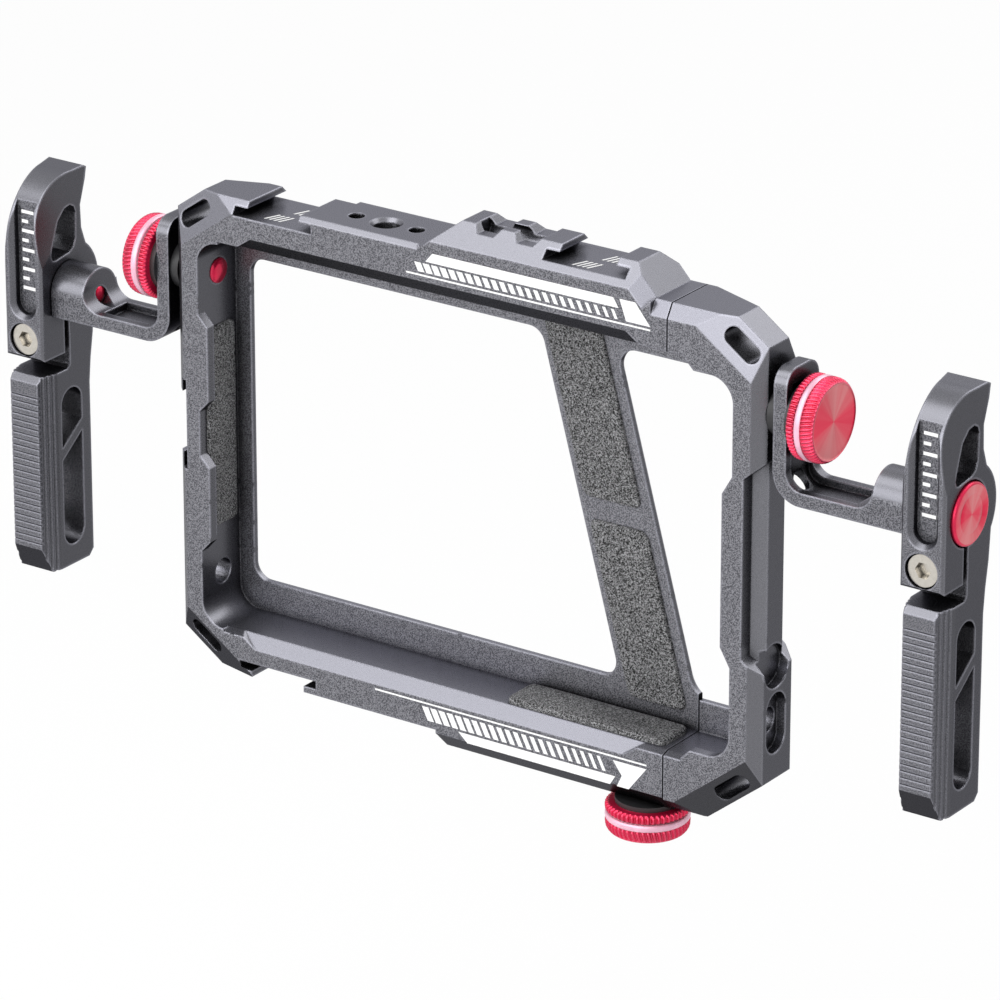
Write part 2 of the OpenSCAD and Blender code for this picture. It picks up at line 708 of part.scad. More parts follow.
// Whole body of the cage, which its nodes share out
module cage_body() {
    top_left = [-side_x, top_z - top_cut_z];
    top_start = [-side_x + top_cut_x, top_z];
    low_left = [-side_x, low_rise + low_cut_z];
    low_start = [-side_x + low_cut_x, low_rise];
    hook_x = shoe_x + shoe_neck / 2;
    difference() {
        union() {
            difference() {
                along_y(-half_d, half_d) frame_outline();
                along_y(-half_d - over, lip_y)
                    round_left(-wall_x, seam_x + over, floor_z, ceil_z, phone_r);
                along_y(lip_y - over, half_d + over) difference() {
                    round_left(-wall_x + lip_side_w, seam_x + over, window_z0, window_z1, window_r);
                    bar_outline();
                }
                mouth_bevels();
                for (s = [-1, 1]) along_x(-wall_x + phone_r, seam_x + over) mouth_wedge(s, rim_h, rim_depth);
            }
            for (s = [-1, 1]) front_lip(mid_z + s * bump_gap / 2, bump_l, bump_run);
        }
        bevel(top_left, top_start, top_bevel_w, bevel_d);
        bevel(top_start, [hook_x, top_z], edge_bevel_w, edge_bevel_d, far, -shoe_neck / 2);
        bevel([hook_x, top_z], [rail_x0 - rail_run_left, top_z], block_bevel, block_bevel, over, -over);
        bevel([rail_x0, rail_z], [rail_x1, rail_z], rail_bevel_w, rail_bevel_d);
        bevel([rail_x1, rail_z], [rail_x1 + rail_run_right, top_z], edge_bevel_w, bevel_d, 0, 0);
        bevel([rail_x1 + rail_run_right, top_z], [seam_x, top_z], edge_bevel_w, edge_bevel_d, 0, over);
        bevel(low_left, top_left, side_bevel_w, bevel_d);
        bevel(low_start, low_left, low_bevel_w, bevel_d);
        bevel([seam_x, 0], [-base_reach, 0], base_bevel, base_bevel, over, over);
        back_bevel(top_left, top_start, top_bevel_w, corner_back_d);
        back_bevel(low_left, top_left, side_bevel_w, side_back_d);
        back_bevel(low_start, low_left, back_bevel_w, back_bevel_d);
        back_bevel(top_start, [hook_x + shoe_block, top_z], back_bevel_d, back_bevel_d, over, 0);
        back_bevel([rail_x0, rail_z], [rail_x1, rail_z], rail_back_w, rail_back_d);
        strap_slot(top_left, top_start);
        strap_slot(low_start, low_left);
        translate([top_thread_x, 0, top_z]) thread(top_thread_d);
        for (s = [-1, 1])
            rod_along_z(top_z - locate_d, top_z + over, top_thread_x + s * locate_gap / 2, 0, locate_r);
        rod_along_z(-over, base_thread_d, 0, 0, thread_r);
        on_left() side_threads();
        rod_along_x(rail_x0 + tooth_w, block_x, 0, rail_z - notch_d, channel_r);
        rod_along_x(slide_x0 - over, seam_x + over, 0, rod_z, rod_r + run_fit);
        translate([slide_x0 - over, -tongue_d / 2 - run_fit, tongue_z - run_fit])
            cube([slide_l + 2 * over, tongue_d + 2 * run_fit, tongue_t + 2 * run_fit]);
        rod_along_z(-over, tongue_z, lock_x, 0, thread_r);
        rod_along_y(stop_tip_y - side_gap, half_d + over, stop_x, tongue_mid, stop_r + screw_fit);
    }
}

// Share of the cage's body between two limits along X and two heights
module body_share(x0, x1, z0, z1) {
    color([0.36, 0.36, 0.38]) intersection() {
        cage_body();
        translate([x0, -2 * half_d, z0]) cube([x1 - x0, 4 * half_d, z1 - z0]);
    }
}

module left_column_head() { body_share(-2 * side_x, column_x, head_z, 2 * rail_z); }

module left_column_wall() { body_share(-2 * side_x, column_x, foot_z, head_z); }

module left_column_foot() { body_share(-2 * side_x, column_x, -rail_z, foot_z); }

module top_bar() { body_share(column_x, rail_start, ceil_z, 2 * rail_z); }

module top_rail() { body_share(rail_start, 2 * side_x, ceil_z, 2 * rail_z); }

module bottom_bar() { body_share(column_x, 2 * side_x, -rail_z, floor_z); }

module upper_back_lip() { body_share(column_x, 2 * side_x, window_z1 - root_h, ceil_z); }

module lower_back_lip() { body_share(column_x, 2 * side_x, floor_z, window_z0 + root_h); }

module slanted_back_bar() { body_share(column_x, 2 * side_x, window_z0 + root_h, window_z1 - root_h); }

// Opening in front of the arm, smaller than the phone space at the two corners
module arm_mouth() {
    lip_x = seam_x + mouth_run + corner_lip;
    polygon([
        [seam_x - over, floor_z], [seam_x + mouth_run, floor_z], [lip_x, floor_z + corner_lip],
        [lip_x, ceil_z - corner_lip], [seam_x + mouth_run, ceil_z], [seam_x - over, ceil_z]
    ]);
    on_left() round_left(-wall_x, -lip_x + over, floor_z + corner_lip, ceil_z - corner_lip, phone_r);
}

// Cut that makes the waist on the arm's outer side, with the cup at its lower end
module waist_cut() {
    step_x = side_x - waist_d;
    step_y = front_y + waist_step;
    flank_x = side_x - waist_side;
    outer_rise = (waist_d + over) * waist_rise;
    intersection() {
        along_z(0, top_z)
            polygon([
                [step_x, front_y - over], [step_x, step_y], [flank_x, step_y + waist_lean], [flank_x, waist_back],
                [step_x, half_d], [step_x, half_d + over], [side_x + over, half_d + over], [side_x + over, front_y - over]
            ]);
        along_y(front_y - 2 * over, half_d + 2 * over)
            polygon([
                [step_x - over, mid_z + waist_top - waist_rise * over], [side_x + over, mid_z + waist_top + outer_rise],
                [side_x + over, mid_z - waist_low - outer_rise], [step_x - over, mid_z - waist_low + waist_rise * over]
            ]);
    }
    rod_along_x(side_x - cup_d, side_x + over, 0, mid_z - waist_low - cup_drop, cup_r);
}

// Whole body of the sliding arm, which its nodes share out
module arm_body() {
    top_right = [side_x, top_z - top_cut_z];
    top_end = [side_x - top_cut_x, top_z];
    low_right = [side_x, arm_lift + arm_cut_z];
    low_end = [side_x - arm_cut_x, arm_lift];
    difference() {
        union() {
            difference() {
                along_y(-half_d, half_d) arm_outline();
                on_left() along_y(bump_y, lip_y)
                    round_left(-wall_x, -seam_x + over, floor_z, ceil_z, phone_r);
                along_y(-half_d - over, bump_y + over) arm_mouth();
                on_left() along_y(lip_y - over, half_d + over)
                    round_left(-wall_x + lip_side_w, -seam_x + over, window_z0, window_z1, window_r);
                for (s = [-1, 1]) along_x(seam_x - over, seam_x + mouth_run) mouth_wedge(s, rim_h, rim_depth);
            }
            on_left() front_lip(mid_z, arm_bump_l, arm_bump_run);
        }
        bevel([seam_x, top_z], top_end, edge_bevel_w, edge_bevel_d, over, far);
        bevel(top_end, top_right, top_bevel_w, bevel_d);
        bevel(top_right, low_right, side_bevel_w, bevel_d);
        bevel(low_right, low_end, low_bevel_w, bevel_d);
        bevel(low_end, [seam_x, arm_lift], arm_bevel, arm_bevel, far, over);
        back_bevel(top_end, top_right, top_bevel_w, corner_back_d);
        back_bevel(top_right, low_right, side_bevel_w, side_back_d);
        back_bevel(low_right, low_end, back_bevel_w, back_bevel_d);
        waist_cut();
        strap_slot(top_end, top_right);
        strap_slot(low_right, low_end, arm_strap_inset, -arm_strap_shift);
        side_threads();
        rod_along_x(seam_x - over, seam_x + rod_grip + side_gap, 0, rod_z, rod_r + screw_fit);
        translate([seam_x - over, -tongue_d / 2 - screw_fit, tongue_z - screw_fit])
            cube([tongue_grip + over + side_gap, tongue_d + 2 * screw_fit, tongue_t + 2 * screw_fit]);
        for (s = [-1, 1]) {
            y = s * tongue_screw_gap / 2;
            rod_along_z(arm_lift - over, tongue_z, seam_x + tongue_screw_x, y, tongue_screw_r + screw_fit);
            rod_along_z(arm_lift - over, arm_lift + tongue_head_h, seam_x + tongue_screw_x, y, tongue_head_r + seat_fit / 2);
        }
        rod_along_y(rod_r / 2, half_d + over, seam_x + set_x, rod_z, set_r + screw_fit);
    }
}

// Share of the arm's body between two heights
module arm_share(z0, z1) {
    color([0.36, 0.36, 0.38]) intersection() {
        arm_body();
        translate([0, -2 * half_d, z0]) cube([2 * side_x, 4 * half_d, z1 - z0]);
    }
}

module arm_head() { arm_share(head_z, 2 * rail_z); }

module arm_wall() { arm_share(arm_foot_z, head_z); }

module arm_foot() { arm_share(-rail_z, arm_foot_z); }

module upper_guide_rod() {
    color([0.75, 0.75, 0.76]) difference() {
        rod_along_x(slide_x0, seam_x + rod_grip, 0, rod_z, rod_r);
        rod_along_y(rod_r - set_r / 2, rod_r + over, seam_x + set_x, rod_z, set_r + screw_fit);
    }
}

module lower_slide_tongue() {
    groove_x0 = stop_x - travel - stop_r - side_gap;
    groove_h = 2 * stop_r + 2 * seat_fit;
    color([0.7, 0.7, 0.72]) difference() {
        translate([slide_x0, -tongue_d / 2, tongue_z]) cube([slide_l + tongue_grip, tongue_d, tongue_t]);
        translate([groove_x0, tongue_d / 2 - stop_groove_d, tongue_mid - groove_h / 2])
            cube([travel + 2 * stop_r + 2 * side_gap, stop_groove_d + over, groove_h]);
        for (s = [-1, 1])
            rod_along_z(tongue_z - over, tongue_mid + tongue_screw_r, seam_x + tongue_screw_x,
                s * tongue_screw_gap / 2, tongue_screw_r + screw_fit);
    }
}

module tongue_screws() {
    color([0.8, 0.8, 0.8]) for (s = [-1, 1]) {
        y = s * tongue_screw_gap / 2;
        difference() {
            union() {
                rod_along_z(arm_lift, arm_lift + tongue_head_h, seam_x + tongue_screw_x, y, tongue_head_r);
                rod_along_z(arm_lift, tongue_mid, seam_x + tongue_screw_x, y, tongue_screw_r);
            }
            translate([0, 0, arm_lift - over])
                translate([seam_x + tongue_screw_x, y, 0])
                    cylinder(h = over + tongue_head_h / 2, r = tongue_screw_r, $fn = 6);
        }
    }
}

module rod_set_screw() {
    color([0.3, 0.3, 0.3]) difference() {
        rod_along_y(rod_r - set_r / 2, half_d - seat_fit, seam_x + set_x, rod_z, set_r);
        translate([seam_x + set_x, half_d + over, rod_z]) rotate([90, 0, 0])
            cylinder(h = set_r + over, r = set_r / 2, $fn = 6);
    }
}

module travel_stop_screw() {
    color([0.3, 0.3, 0.3]) difference() {
        rod_along_y(stop_tip_y, half_d - seat_fit, stop_x, tongue_mid, stop_r);
        translate([stop_x, half_d + over, tongue_mid]) rotate([90, 0, 0])
            cylinder(h = stop_r + over, r = stop_r / 2, $fn = 6);
    }
}

// Knob with two rings, a band and a dished face, standing on the plane below it; its stud points down
module knob(stud_l) {
    band_z = knob_ring + knob_band;
    band_r = knob_r - knob_band_d;
    ring_r = knob_r - knob_chamfer;
    rotate_extrude() polygon([
        [0, -stud_l], [stud_r, -stud_l], [stud_r, 0], [ring_r, 0], [knob_r, knob_chamfer],
        [knob_r, knob_ring - knob_chamfer], [band_r, knob_ring], [band_r, band_z],
        [knob_r, band_z + knob_chamfer], [knob_r, knob_h - knob_chamfer], [ring_r, knob_h],
        [knob_r - knob_rim, knob_h - knob_dish], [0, knob_h - knob_dish]
    ]);
}

module ring_washer(r, t) {
    difference() {
        cylinder(h = t, r = r);
        translate([0, 0, -over]) cylinder(h = t + 2 * over, r = washer_hole_r);
    }
}

module lock_knob() {
    color([0.85, 0.12, 0.3]) translate([lock_x, 0, -lock_washer_t]) rotate([180, 0, 0])
        knob(lock_washer_t + tongue_z - press_t - run_fit);
}

module lock_washer() {
    color([0.2, 0.2, 0.2]) translate([lock_x, 0, -lock_washer_t]) ring_washer(washer_r, lock_washer_t);
}

module lock_pressure_pad() {
    color([0.8, 0.65, 0.3]) rod_along_z(tongue_z - press_t - run_fit, tongue_z - run_fit, lock_x, 0, stud_r - run_fit);
}

module left_wall_pad() {
    color([0.2, 0.2, 0.2]) translate([-wall_x, -pad_d / 2, mid_z - wall_pad_l / 2]) cube([pad_t, pad_d, wall_pad_l]);
}

module right_wall_pad() {
    color([0.2, 0.2, 0.2]) translate([wall_x - pad_t, -pad_d / 2, mid_z - wall_pad_l / 2]) cube([pad_t, pad_d, wall_pad_l]);
}

// Pad on the slanted bar between two heights
module bar_pad(z0, z1) {
    left = bar_x - bar_w / 2 + bar_pad_inset;
    along_y(lip_y - pad_t, lip_y)
        polygon([for (p = [[0, z0], [bar_pad_w, z0], [bar_pad_w, z1], [0, z1]])
            [left + p[0] - (p[1] - mid_z) * bar_lean, p[1]]]);
}

module upper_bar_pad() { color([0.2, 0.2, 0.2]) bar_pad(mid_z + bar_pad_gap / 2, ceil_z - bar_pad_top); }

module lower_bar_pad() { color([0.2, 0.2, 0.2]) bar_pad(floor_z + bar_pad_foot, mid_z - bar_pad_gap / 2); }

module floor_pad() {
    color([0.2, 0.2, 0.2]) translate([seam_x - floor_pad_l - floor_pad_end, -pad_d / 2, floor_z])
        cube([floor_pad_l, pad_d, floor_pad_t]);
}

// Front view of the bracket: plate, bend, level arm and the fillet up to the hub
module bracket_outline() {
    difference() {
        union() {
            translate([spacer_x, reach_z]) square([plate_t, side_thread_z + plate_top - reach_z]);
            translate([spacer_x, reach_z]) square([hub_x - spacer_x + over, reach_t]);
            translate([plate_x, reach_z + reach_t]) square(bend_inner_r);
            translate([hub_x - hub_fillet, reach_z + reach_t]) square(hub_fillet);
        }
        difference() {
            translate([spacer_x - over, reach_z - over]) square(bend_r + over);
            translate([spacer_x + bend_r, reach_z + bend_r]) circle(bend_r);
        }
        translate([plate_x + bend_inner_r, reach_z + reach_t + bend_inner_r]) circle(bend_inner_r);
        translate([hub_x - hub_fillet, reach_z + reach_t + hub_fillet]) circle(hub_fillet);
    }
}

// Front view of the trough round the inside of the bend
module trough_outline() {
    x = plate_x - trough_plate_d;
    z = reach_z + reach_t - trough_d;
    translate([x + bend_inner_r, z]) square([hub_x - hub_fillet - x - bend_inner_r, trough_d + over]);
    translate([x, z + bend_inner_r]) square([trough_plate_d + over, side_thread_z + trough_top - z - bend_inner_r]);
    translate([x + bend_inner_r, z + bend_inner_r]) circle(bend_inner_r);
}

// End view of the hub: round above, straight sides below, and flush with the level arm's foot
module hub_end() {
    intersection() {
        translate([0, pivot_z]) circle(hub_r);
        translate([-hub_r, reach_z]) square([2 * hub_r, hub_r + pivot_z - reach_z]);
    }
    translate([-plate_w / 2, reach_z]) square([plate_w, pivot_z - reach_z]);
}

// Right bracket with its hub and shaft
module bracket() {
    top = side_thread_z + plate_top;
    color([0.3, 0.3, 0.32]) difference() {
        union() {
            intersection() {
                along_y(-plate_w / 2, plate_w / 2) bracket_outline();
                along_x(spacer_x - over, hub_x + 2 * over) union() {
                    translate([-plate_w / 2, reach_z - over]) square([plate_w, top - plate_r - reach_z + over]);
                    translate([-plate_w / 2 + plate_r, reach_z]) square([plate_w - 2 * plate_r, top - reach_z]);
                    for (s = [-1, 1]) translate([s * (plate_w / 2 - plate_r), top - plate_r]) circle(plate_r);
                }
            }
            along_x(hub_x, handle_x0 - side_gap) hub_end();
            rod_along_x(handle_x0 - side_gap, shaft_x1 - run_fit, 0, pivot_z, shaft_r);
        }
        along_y(-trough_w / 2, trough_w / 2) trough_outline();
        translate([spacer_x + bend_r, 0, reach_z + bend_r]) rotate([0, 225, 0]) cylinder(h = 2 * bend_r, r = bend_hole_r);
        rod_along_x(spacer_x - over, plate_x + over, 0, side_thread_z, washer_hole_r);
        rod_along_x(hub_x - hub_fillet - over, shaft_x1 + over, 0, pivot_z, shank_r + run_fit);
    }
}

module right_bracket() { bracket(); }

module left_bracket() { on_left() bracket(); }

module bracket_spacer() {
    color([0.2, 0.2, 0.2]) translate([side_x, 0, side_thread_z]) rotate([0, 90, 0]) ring_washer(spacer_r, spacer_t);
}

module right_bracket_spacer() { bracket_spacer(); }

module left_bracket_spacer() { on_left() bracket_spacer(); }

module thumb_knob() {
    color([0.85, 0.12, 0.3]) translate([knob_x, 0, side_thread_z]) rotate([0, 90, 0])
        knob(knob_x - wall_x + stud_reach);
}

module right_thumb_knob() { thumb_knob(); }

module left_thumb_knob() { on_left() thumb_knob(); }

module knob_washer() {
    color([0.2, 0.2, 0.2]) translate([plate_x, 0, side_thread_z]) rotate([0, 90, 0]) ring_washer(washer_r, washer_t);
}

module right_knob_washer() { knob_washer(); }

module left_knob_washer() { on_left() knob_washer(); }

// Outlines of a handle seen from the right, as [distance behind the pivot, height above the pivot]
back_edge = [
    [grip_back, -22], [grip_back + 0.5, -17], [grip_back + 1.4, -11.7], [boss_r - 0.9, 3.4], [grip_back, 7],
    [grip_back - 1.5, 11.2], [grip_back - 1.7, 16], [grip_back + 0.8, horn_h - 0.1], [grip_back + 0.1, horn_h + 0.3]
];
horn_mid = [horn_r - jaw_y, horn_h - horn_r];
horn_edge = [[horn_mid[0], horn_h], horn_mid, [-jaw_y, horn_mid[1]]];
horn_hole = [
    [1.4, 16.8], [2.5, 16.2], [3, 14.8], [2.8, 9.4], [2.2, 7.9], [0.9, 7.1],
    [-3.6, 6.5], [-4.6, 6.8], [-5, 7.8], [-4.7, 9.2], [-2.2, 14.4], [-0.1, 16.4]
];

function at_pivot(points) = [for (p = points) p + [0, pivot_z]];

// Zigzag of the grip's ribs, from the top down
function rib_points() = [
    for (k = [rib_n - 1 : -1 : 0]) each [
        [-grip_y, rib_z + (k + 1) * rib_pitch - rib_d],
        [-grip_y + rib_d, rib_z + (k + 1 / 2) * rib_pitch],
        [-grip_y, rib_z + k * rib_pitch + rib_d]
    ]
];

// Side view of a handle: Y is level and Z is up, the pivot at Y 0
module handle_outline() {
    chamfer = grip_y - grip_back;
    slit_front = -slit_y - slit_w / 2;
    slit_back = -slit_y + slit_w / 2;
    difference() {
        union() {
            polygon(concat(
                [[-grip_back, handle_z], [grip_back - chamfer / 2, handle_z], [grip_back, handle_z + chamfer / 2]],
                at_pivot(back_edge),
                at_pivot(horn_edge),
                [[-jaw_y, jaw_z + jaw_bevel], [-jaw_y + jaw_bevel, jaw_z], [slit_front, jaw_z]],
                [[slit_front, pivot_z], [slit_back, pivot_z], [slit_back, notch_z + slit_w / 2], [-slit_y, notch_z]],
                [[-grip_y + grip_bevel_w, notch_z], [-grip_y, notch_z - grip_bevel_w]],
                rib_points(),
                [[-grip_y, handle_z + 2 * chamfer]]
            ));
            intersection() {
                translate([0, pivot_z]) circle(boss_r);
                translate([0, pivot_z - boss_r]) square([boss_r, 2 * boss_r]);
            }
            translate([0, pivot_z]) intersection() {
                translate(horn_mid) circle(horn_r);
                translate(horn_mid + [-horn_r - over, -over]) square(horn_r + 2 * over);
            }
        }
        translate([0, pivot_z]) circle(shaft_r + run_fit);
    }
}

// Wedges that bevel both front edges of a handle between two heights; front is the face's Y
module front_bevels(z0, z1, front, w, d) {
    for (s = [-1, 1])
        along_z(z0, z1)
            polygon([
                [handle_mid + s * (handle_w / 2 - w - share * w), front - share * d],
                [handle_mid + s * (handle_w / 2 + share * w), front + d + share * d],
                [handle_mid + s * (handle_w / 2 + share * w), front - share * d]
            ]);
}

// Slanted bevels on both sides of the horn, in front of their folds
module horn_bevels() {
    for (s = [-1, 1])
        translate([handle_mid + s * handle_w / 2, fold_y, pivot_z + fold_z]) rotate([fold_a, 0, 0])
            along_y(-2 * horn_h, horn_h)
                polygon([[0, 0], [-s * 2 * fold_w, 2 * fold_l], [s * over, 2 * fold_l], [s * over, 0]]);
}

// Fine grooves down the side bevels of the grip
module grip_grooves() {
    for (s = [-1, 1], k = [1 : groove_n]) {
        part = k / (groove_n + 1);
        x = handle_w / 2 - grip_bevel_w * (1 - part);
        rod_along_z(handle_z - over, notch_z + notch_h / 2, handle_mid + s * x, -grip_y + grip_bevel_d * part, groove_r);
    }
}

// Recess down the jaw's front with a bevelled edge and a round foot
module label_recess() {
    foot_z = label_z + label_w / 2;
    half = label_w / 2;
    mouth = half + label_bevel * (1 + over / label_bevel_d);
    along_y(-jaw_y - over, -jaw_y + label_d) {
        translate([handle_mid - half, foot_z]) square([label_w, label_h - half]);
        translate([handle_mid, foot_z]) circle(half);
    }
    along_z(foot_z, label_z + label_h)
        polygon([
            [handle_mid - mouth, -jaw_y - over], [handle_mid + mouth, -jaw_y - over],
            [handle_mid + half, -jaw_y + label_bevel_d], [handle_mid - half, -jaw_y + label_bevel_d]
        ]);
    translate([handle_mid, -jaw_y - over, foot_z]) rotate([-90, 0, 0])
        cylinder(h = over + label_bevel_d, r1 = mouth, r2 = half);
}

module handle() {
    slot_y = -grip_y + slot_front + slot_w / 2;
    color([0.3, 0.3, 0.32]) difference() {
        along_x(handle_x0, handle_x1) handle_outline();
        rod_along_x(shaft_x1, handle_x1 + over, 0, pivot_z, cap_r + seat_fit);
        along_x(handle_x0 - over, handle_x1 + over) polygon(at_pivot(horn_hole));
        along_x(handle_x0 - over, handle_x1 + over) difference() {
            translate([slot_y, slot_z + slot_l / 2]) rotate(90) obround(slot_l, slot_w);
            polygon([
                [slot_y - slot_w, web_z - slot_w], [slot_y + slot_w, web_z + slot_w / 2],
                [slot_y + slot_w, web_z + slot_w / 2 + web_t], [slot_y - slot_w, web_z - slot_w + web_t]
            ]);
        }
        front_bevels(handle_z - over, notch_z + notch_h / 2, -grip_y, grip_bevel_w, grip_bevel_d);
        front_bevels(notch_z + notch_h / 2, horn_z, -jaw_y, jaw_bevel, jaw_bevel);
        horn_bevels();
        grip_grooves();
        label_recess();
        rod_along_y(-jaw_y - over, grip_back, handle_mid, clamp_z, clamp_r + screw_fit);
        rod_along_y(-jaw_y - over, -jaw_y + clamp_sink + clamp_head_h, handle_mid, clamp_z, clamp_head_r + seat_fit);
    }
}

module right_handle() { handle(); }

module left_handle() { on_left() handle(); }

module pivot_cap() {
    cap_h = cap_seat + cap_out;
    shank_z = hub_x - shaft_x1;
    color([0.85, 0.12, 0.3]) translate([shaft_x1, 0, pivot_z]) rotate([0, 90, 0]) rotate_extrude()
        polygon([
            [0, shank_z], [shank_r, shank_z], [shank_r, 0], [cap_r, 0],
            [cap_r, cap_h - cap_chamfer], [cap_r - cap_chamfer, cap_h], [0, cap_h]
        ]);
}

module right_pivot_cap() { pivot_cap(); }

module left_pivot_cap() { on_left() pivot_cap(); }

module clamp_screw() {
    head_y = -jaw_y + clamp_sink;
    color([0.9, 0.88, 0.84]) difference() {
        union() {
            rod_along_y(head_y, head_y + clamp_head_h, handle_mid, clamp_z, clamp_head_r);
            rod_along_y(head_y, grip_back - side_gap, handle_mid, clamp_z, clamp_r);
        }
        translate([handle_mid, head_y + clamp_hex / 2, clamp_z]) rotate([90, 0, 0])
            cylinder(h = clamp_hex / 2 + over, r = clamp_hex / sqrt(3), $fn = 6);
    }
}

module right_clamp_screw() { clamp_screw(); }

module left_clamp_screw() { on_left() clamp_screw(); }

left_column_head();
left_column_wall();
left_column_foot();
top_bar();
top_rail();
bottom_bar();
upper_back_lip();
lower_back_lip();
slanted_back_bar();
arm_head();
arm_wall();
arm_foot();
upper_guide_rod();
lower_slide_tongue();
tongue_screws();
rod_set_screw();
travel_stop_screw();
lock_knob();
lock_washer();
lock_pressure_pad();
left_wall_pad();
right_wall_pad();
upper_bar_pad();
lower_bar_pad();
floor_pad();
left_bracket();
right_bracket();
left_bracket_spacer();
right_bracket_spacer();
left_thumb_knob();
right_thumb_knob();
left_knob_washer();
right_knob_washer();
left_handle();
right_handle();
left_pivot_cap();
right_pivot_cap();
left_clamp_screw();
right_clamp_screw();
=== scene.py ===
import json
import math

import bpy
from mathutils import Matrix, Vector, noise


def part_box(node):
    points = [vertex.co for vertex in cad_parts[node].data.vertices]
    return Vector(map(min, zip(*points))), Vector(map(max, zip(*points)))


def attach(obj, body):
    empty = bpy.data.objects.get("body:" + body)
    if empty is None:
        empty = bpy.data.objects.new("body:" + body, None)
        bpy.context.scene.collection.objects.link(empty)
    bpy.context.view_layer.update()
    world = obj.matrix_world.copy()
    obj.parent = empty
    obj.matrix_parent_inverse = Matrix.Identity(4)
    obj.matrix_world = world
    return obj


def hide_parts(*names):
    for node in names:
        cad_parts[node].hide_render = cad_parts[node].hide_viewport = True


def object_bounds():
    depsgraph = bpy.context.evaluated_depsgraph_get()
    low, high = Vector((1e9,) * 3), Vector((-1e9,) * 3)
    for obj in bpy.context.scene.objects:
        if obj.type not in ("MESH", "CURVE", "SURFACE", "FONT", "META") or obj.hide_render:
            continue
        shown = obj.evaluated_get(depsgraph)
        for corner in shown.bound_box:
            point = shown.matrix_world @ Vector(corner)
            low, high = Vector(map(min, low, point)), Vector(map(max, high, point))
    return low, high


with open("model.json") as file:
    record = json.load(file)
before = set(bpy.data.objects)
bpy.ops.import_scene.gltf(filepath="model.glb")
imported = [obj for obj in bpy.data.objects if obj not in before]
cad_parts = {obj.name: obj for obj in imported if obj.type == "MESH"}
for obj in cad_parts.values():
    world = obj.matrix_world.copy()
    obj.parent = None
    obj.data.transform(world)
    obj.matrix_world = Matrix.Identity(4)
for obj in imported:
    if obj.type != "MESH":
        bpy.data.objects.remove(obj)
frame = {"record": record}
CAD_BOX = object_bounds()

MM = 0.001


def box_mm(node):
    """Low and high corner of a node's box."""
    low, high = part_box(node)
    return Vector(low) / MM, Vector(high) / MM


# Shader helpers

class Val:
    """A shader socket with arithmetic."""

    def __init__(self, shader, socket):
        self.shader = shader
        self.socket = socket

    def op(self, kind, *others):
        return self.shader.node("ShaderNodeMath", [self, *others], operation=kind)

    def __add__(self, o):
        return self.op("ADD", o)

    def __radd__(self, o):
        return self.op("ADD", o)

    def __sub__(self, o):
        return self.op("SUBTRACT", o)

    def __rsub__(self, o):
        return self.shader.node("ShaderNodeMath", [o, self], operation="SUBTRACT")

    def __mul__(self, o):
        return self.op("MULTIPLY", o)

    def __rmul__(self, o):
        return self.op("MULTIPLY", o)

    def __truediv__(self, o):
        return self.op("DIVIDE", o)

    def __rtruediv__(self, o):
        return self.shader.node("ShaderNodeMath", [o, self], operation="DIVIDE")

    def __pow__(self, o):
        return self.op("POWER", o)

    def __neg__(self):
        return self.op("MULTIPLY", -1.0)

    def __abs__(self):
        return self.op("ABSOLUTE")


class Shader:
    """A material whose nodes are added one call at a time."""

    def __init__(self, name):
        self.material = bpy.data.materials.new(name)
        self.material.use_nodes = True
        self.tree = self.material.node_tree
        self.surface = self.tree.nodes["Principled BSDF"]

    def put(self, socket, value):
        if isinstance(value, Val):
            self.tree.links.new(value.socket, socket)
        elif value is not None:
            socket.default_value = value

    def node(self, kind, inputs=(), out=0, **props):
        n = self.tree.nodes.new(kind)
        for key, value in props.items():
            setattr(n, key, value)
        pairs = inputs.items() if isinstance(inputs, dict) else enumerate(inputs)
        for key, value in pairs:
            self.put(n.inputs[key], value)
        return Val(self, n.outputs[out])

    def place(self):
        return self.node("ShaderNodeTexCoord", out="Object")

    def split(self, vector):
        n = self.tree.nodes.new("ShaderNodeSeparateXYZ")
        self.put(n.inputs[0], vector)
        return [Val(self, o) for o in n.outputs]

    def facing(self):
        """The face's direction in the piece's own frame."""
        return self.split(self.node("ShaderNodeTexCoord", out="Normal"))

    def noise(self, scale, detail=2.0, rough=0.5, where=None):
        inputs = {"Vector": where or self.place(), "Scale": scale, "Detail": detail, "Roughness": rough}
        return self.node("ShaderNodeTexNoise", inputs)

    def step(self, value, low, high):
        """Soft rise from 0 at low to 1 at high, or a fall when low is the greater."""
        return self.node("ShaderNodeMapRange", [value, low, high], interpolation_type="SMOOTHSTEP")

    def mix(self, factor, a, b):
        return self.node("ShaderNodeMix", {0: factor, 6: a, 7: b}, out=2, data_type="RGBA")

    def blend_normal(self, factor, a, b):
        return self.node("ShaderNodeMix", {0: factor, 4: a, 5: b}, out=1, data_type="VECTOR")

    def bump(self, height, distance, strength, normal=None):
        inputs = {"Height": height, "Distance": distance, "Strength": strength, "Normal": normal}
        return self.node("ShaderNodeBump", inputs)

    def round_edge(self, radius):
        return self.node("ShaderNodeBevel", {"Radius": radius}, samples=4)

    def crest(self, reach):
        """1 along outward edges, 0 on flat stretches and in corners."""
        open_share = self.node("ShaderNodeAmbientOcclusion", {"Distance": reach}, out="AO", inside=True,
                               only_local=True, samples=4)
        return self.step(open_share, 0.92, 0.6)

    def painted_hollow_shade(self, reach):
        """Mask for painted shade: 1 deep in holes and slots, 0 in the open."""
        open_share = self.node("ShaderNodeAmbientOcclusion", {"Distance": reach}, out="AO", samples=4)
        return self.step(open_share, 0.75, 0.35)

    def set(self, **values):
        """Feed the surface; base_color stands for its input Base Color and so on."""
        for key, value in values.items():
            title = key.replace("_", " ").title().replace("Ior", "IOR")
            self.put(self.surface.inputs[title], value)
        return self.material


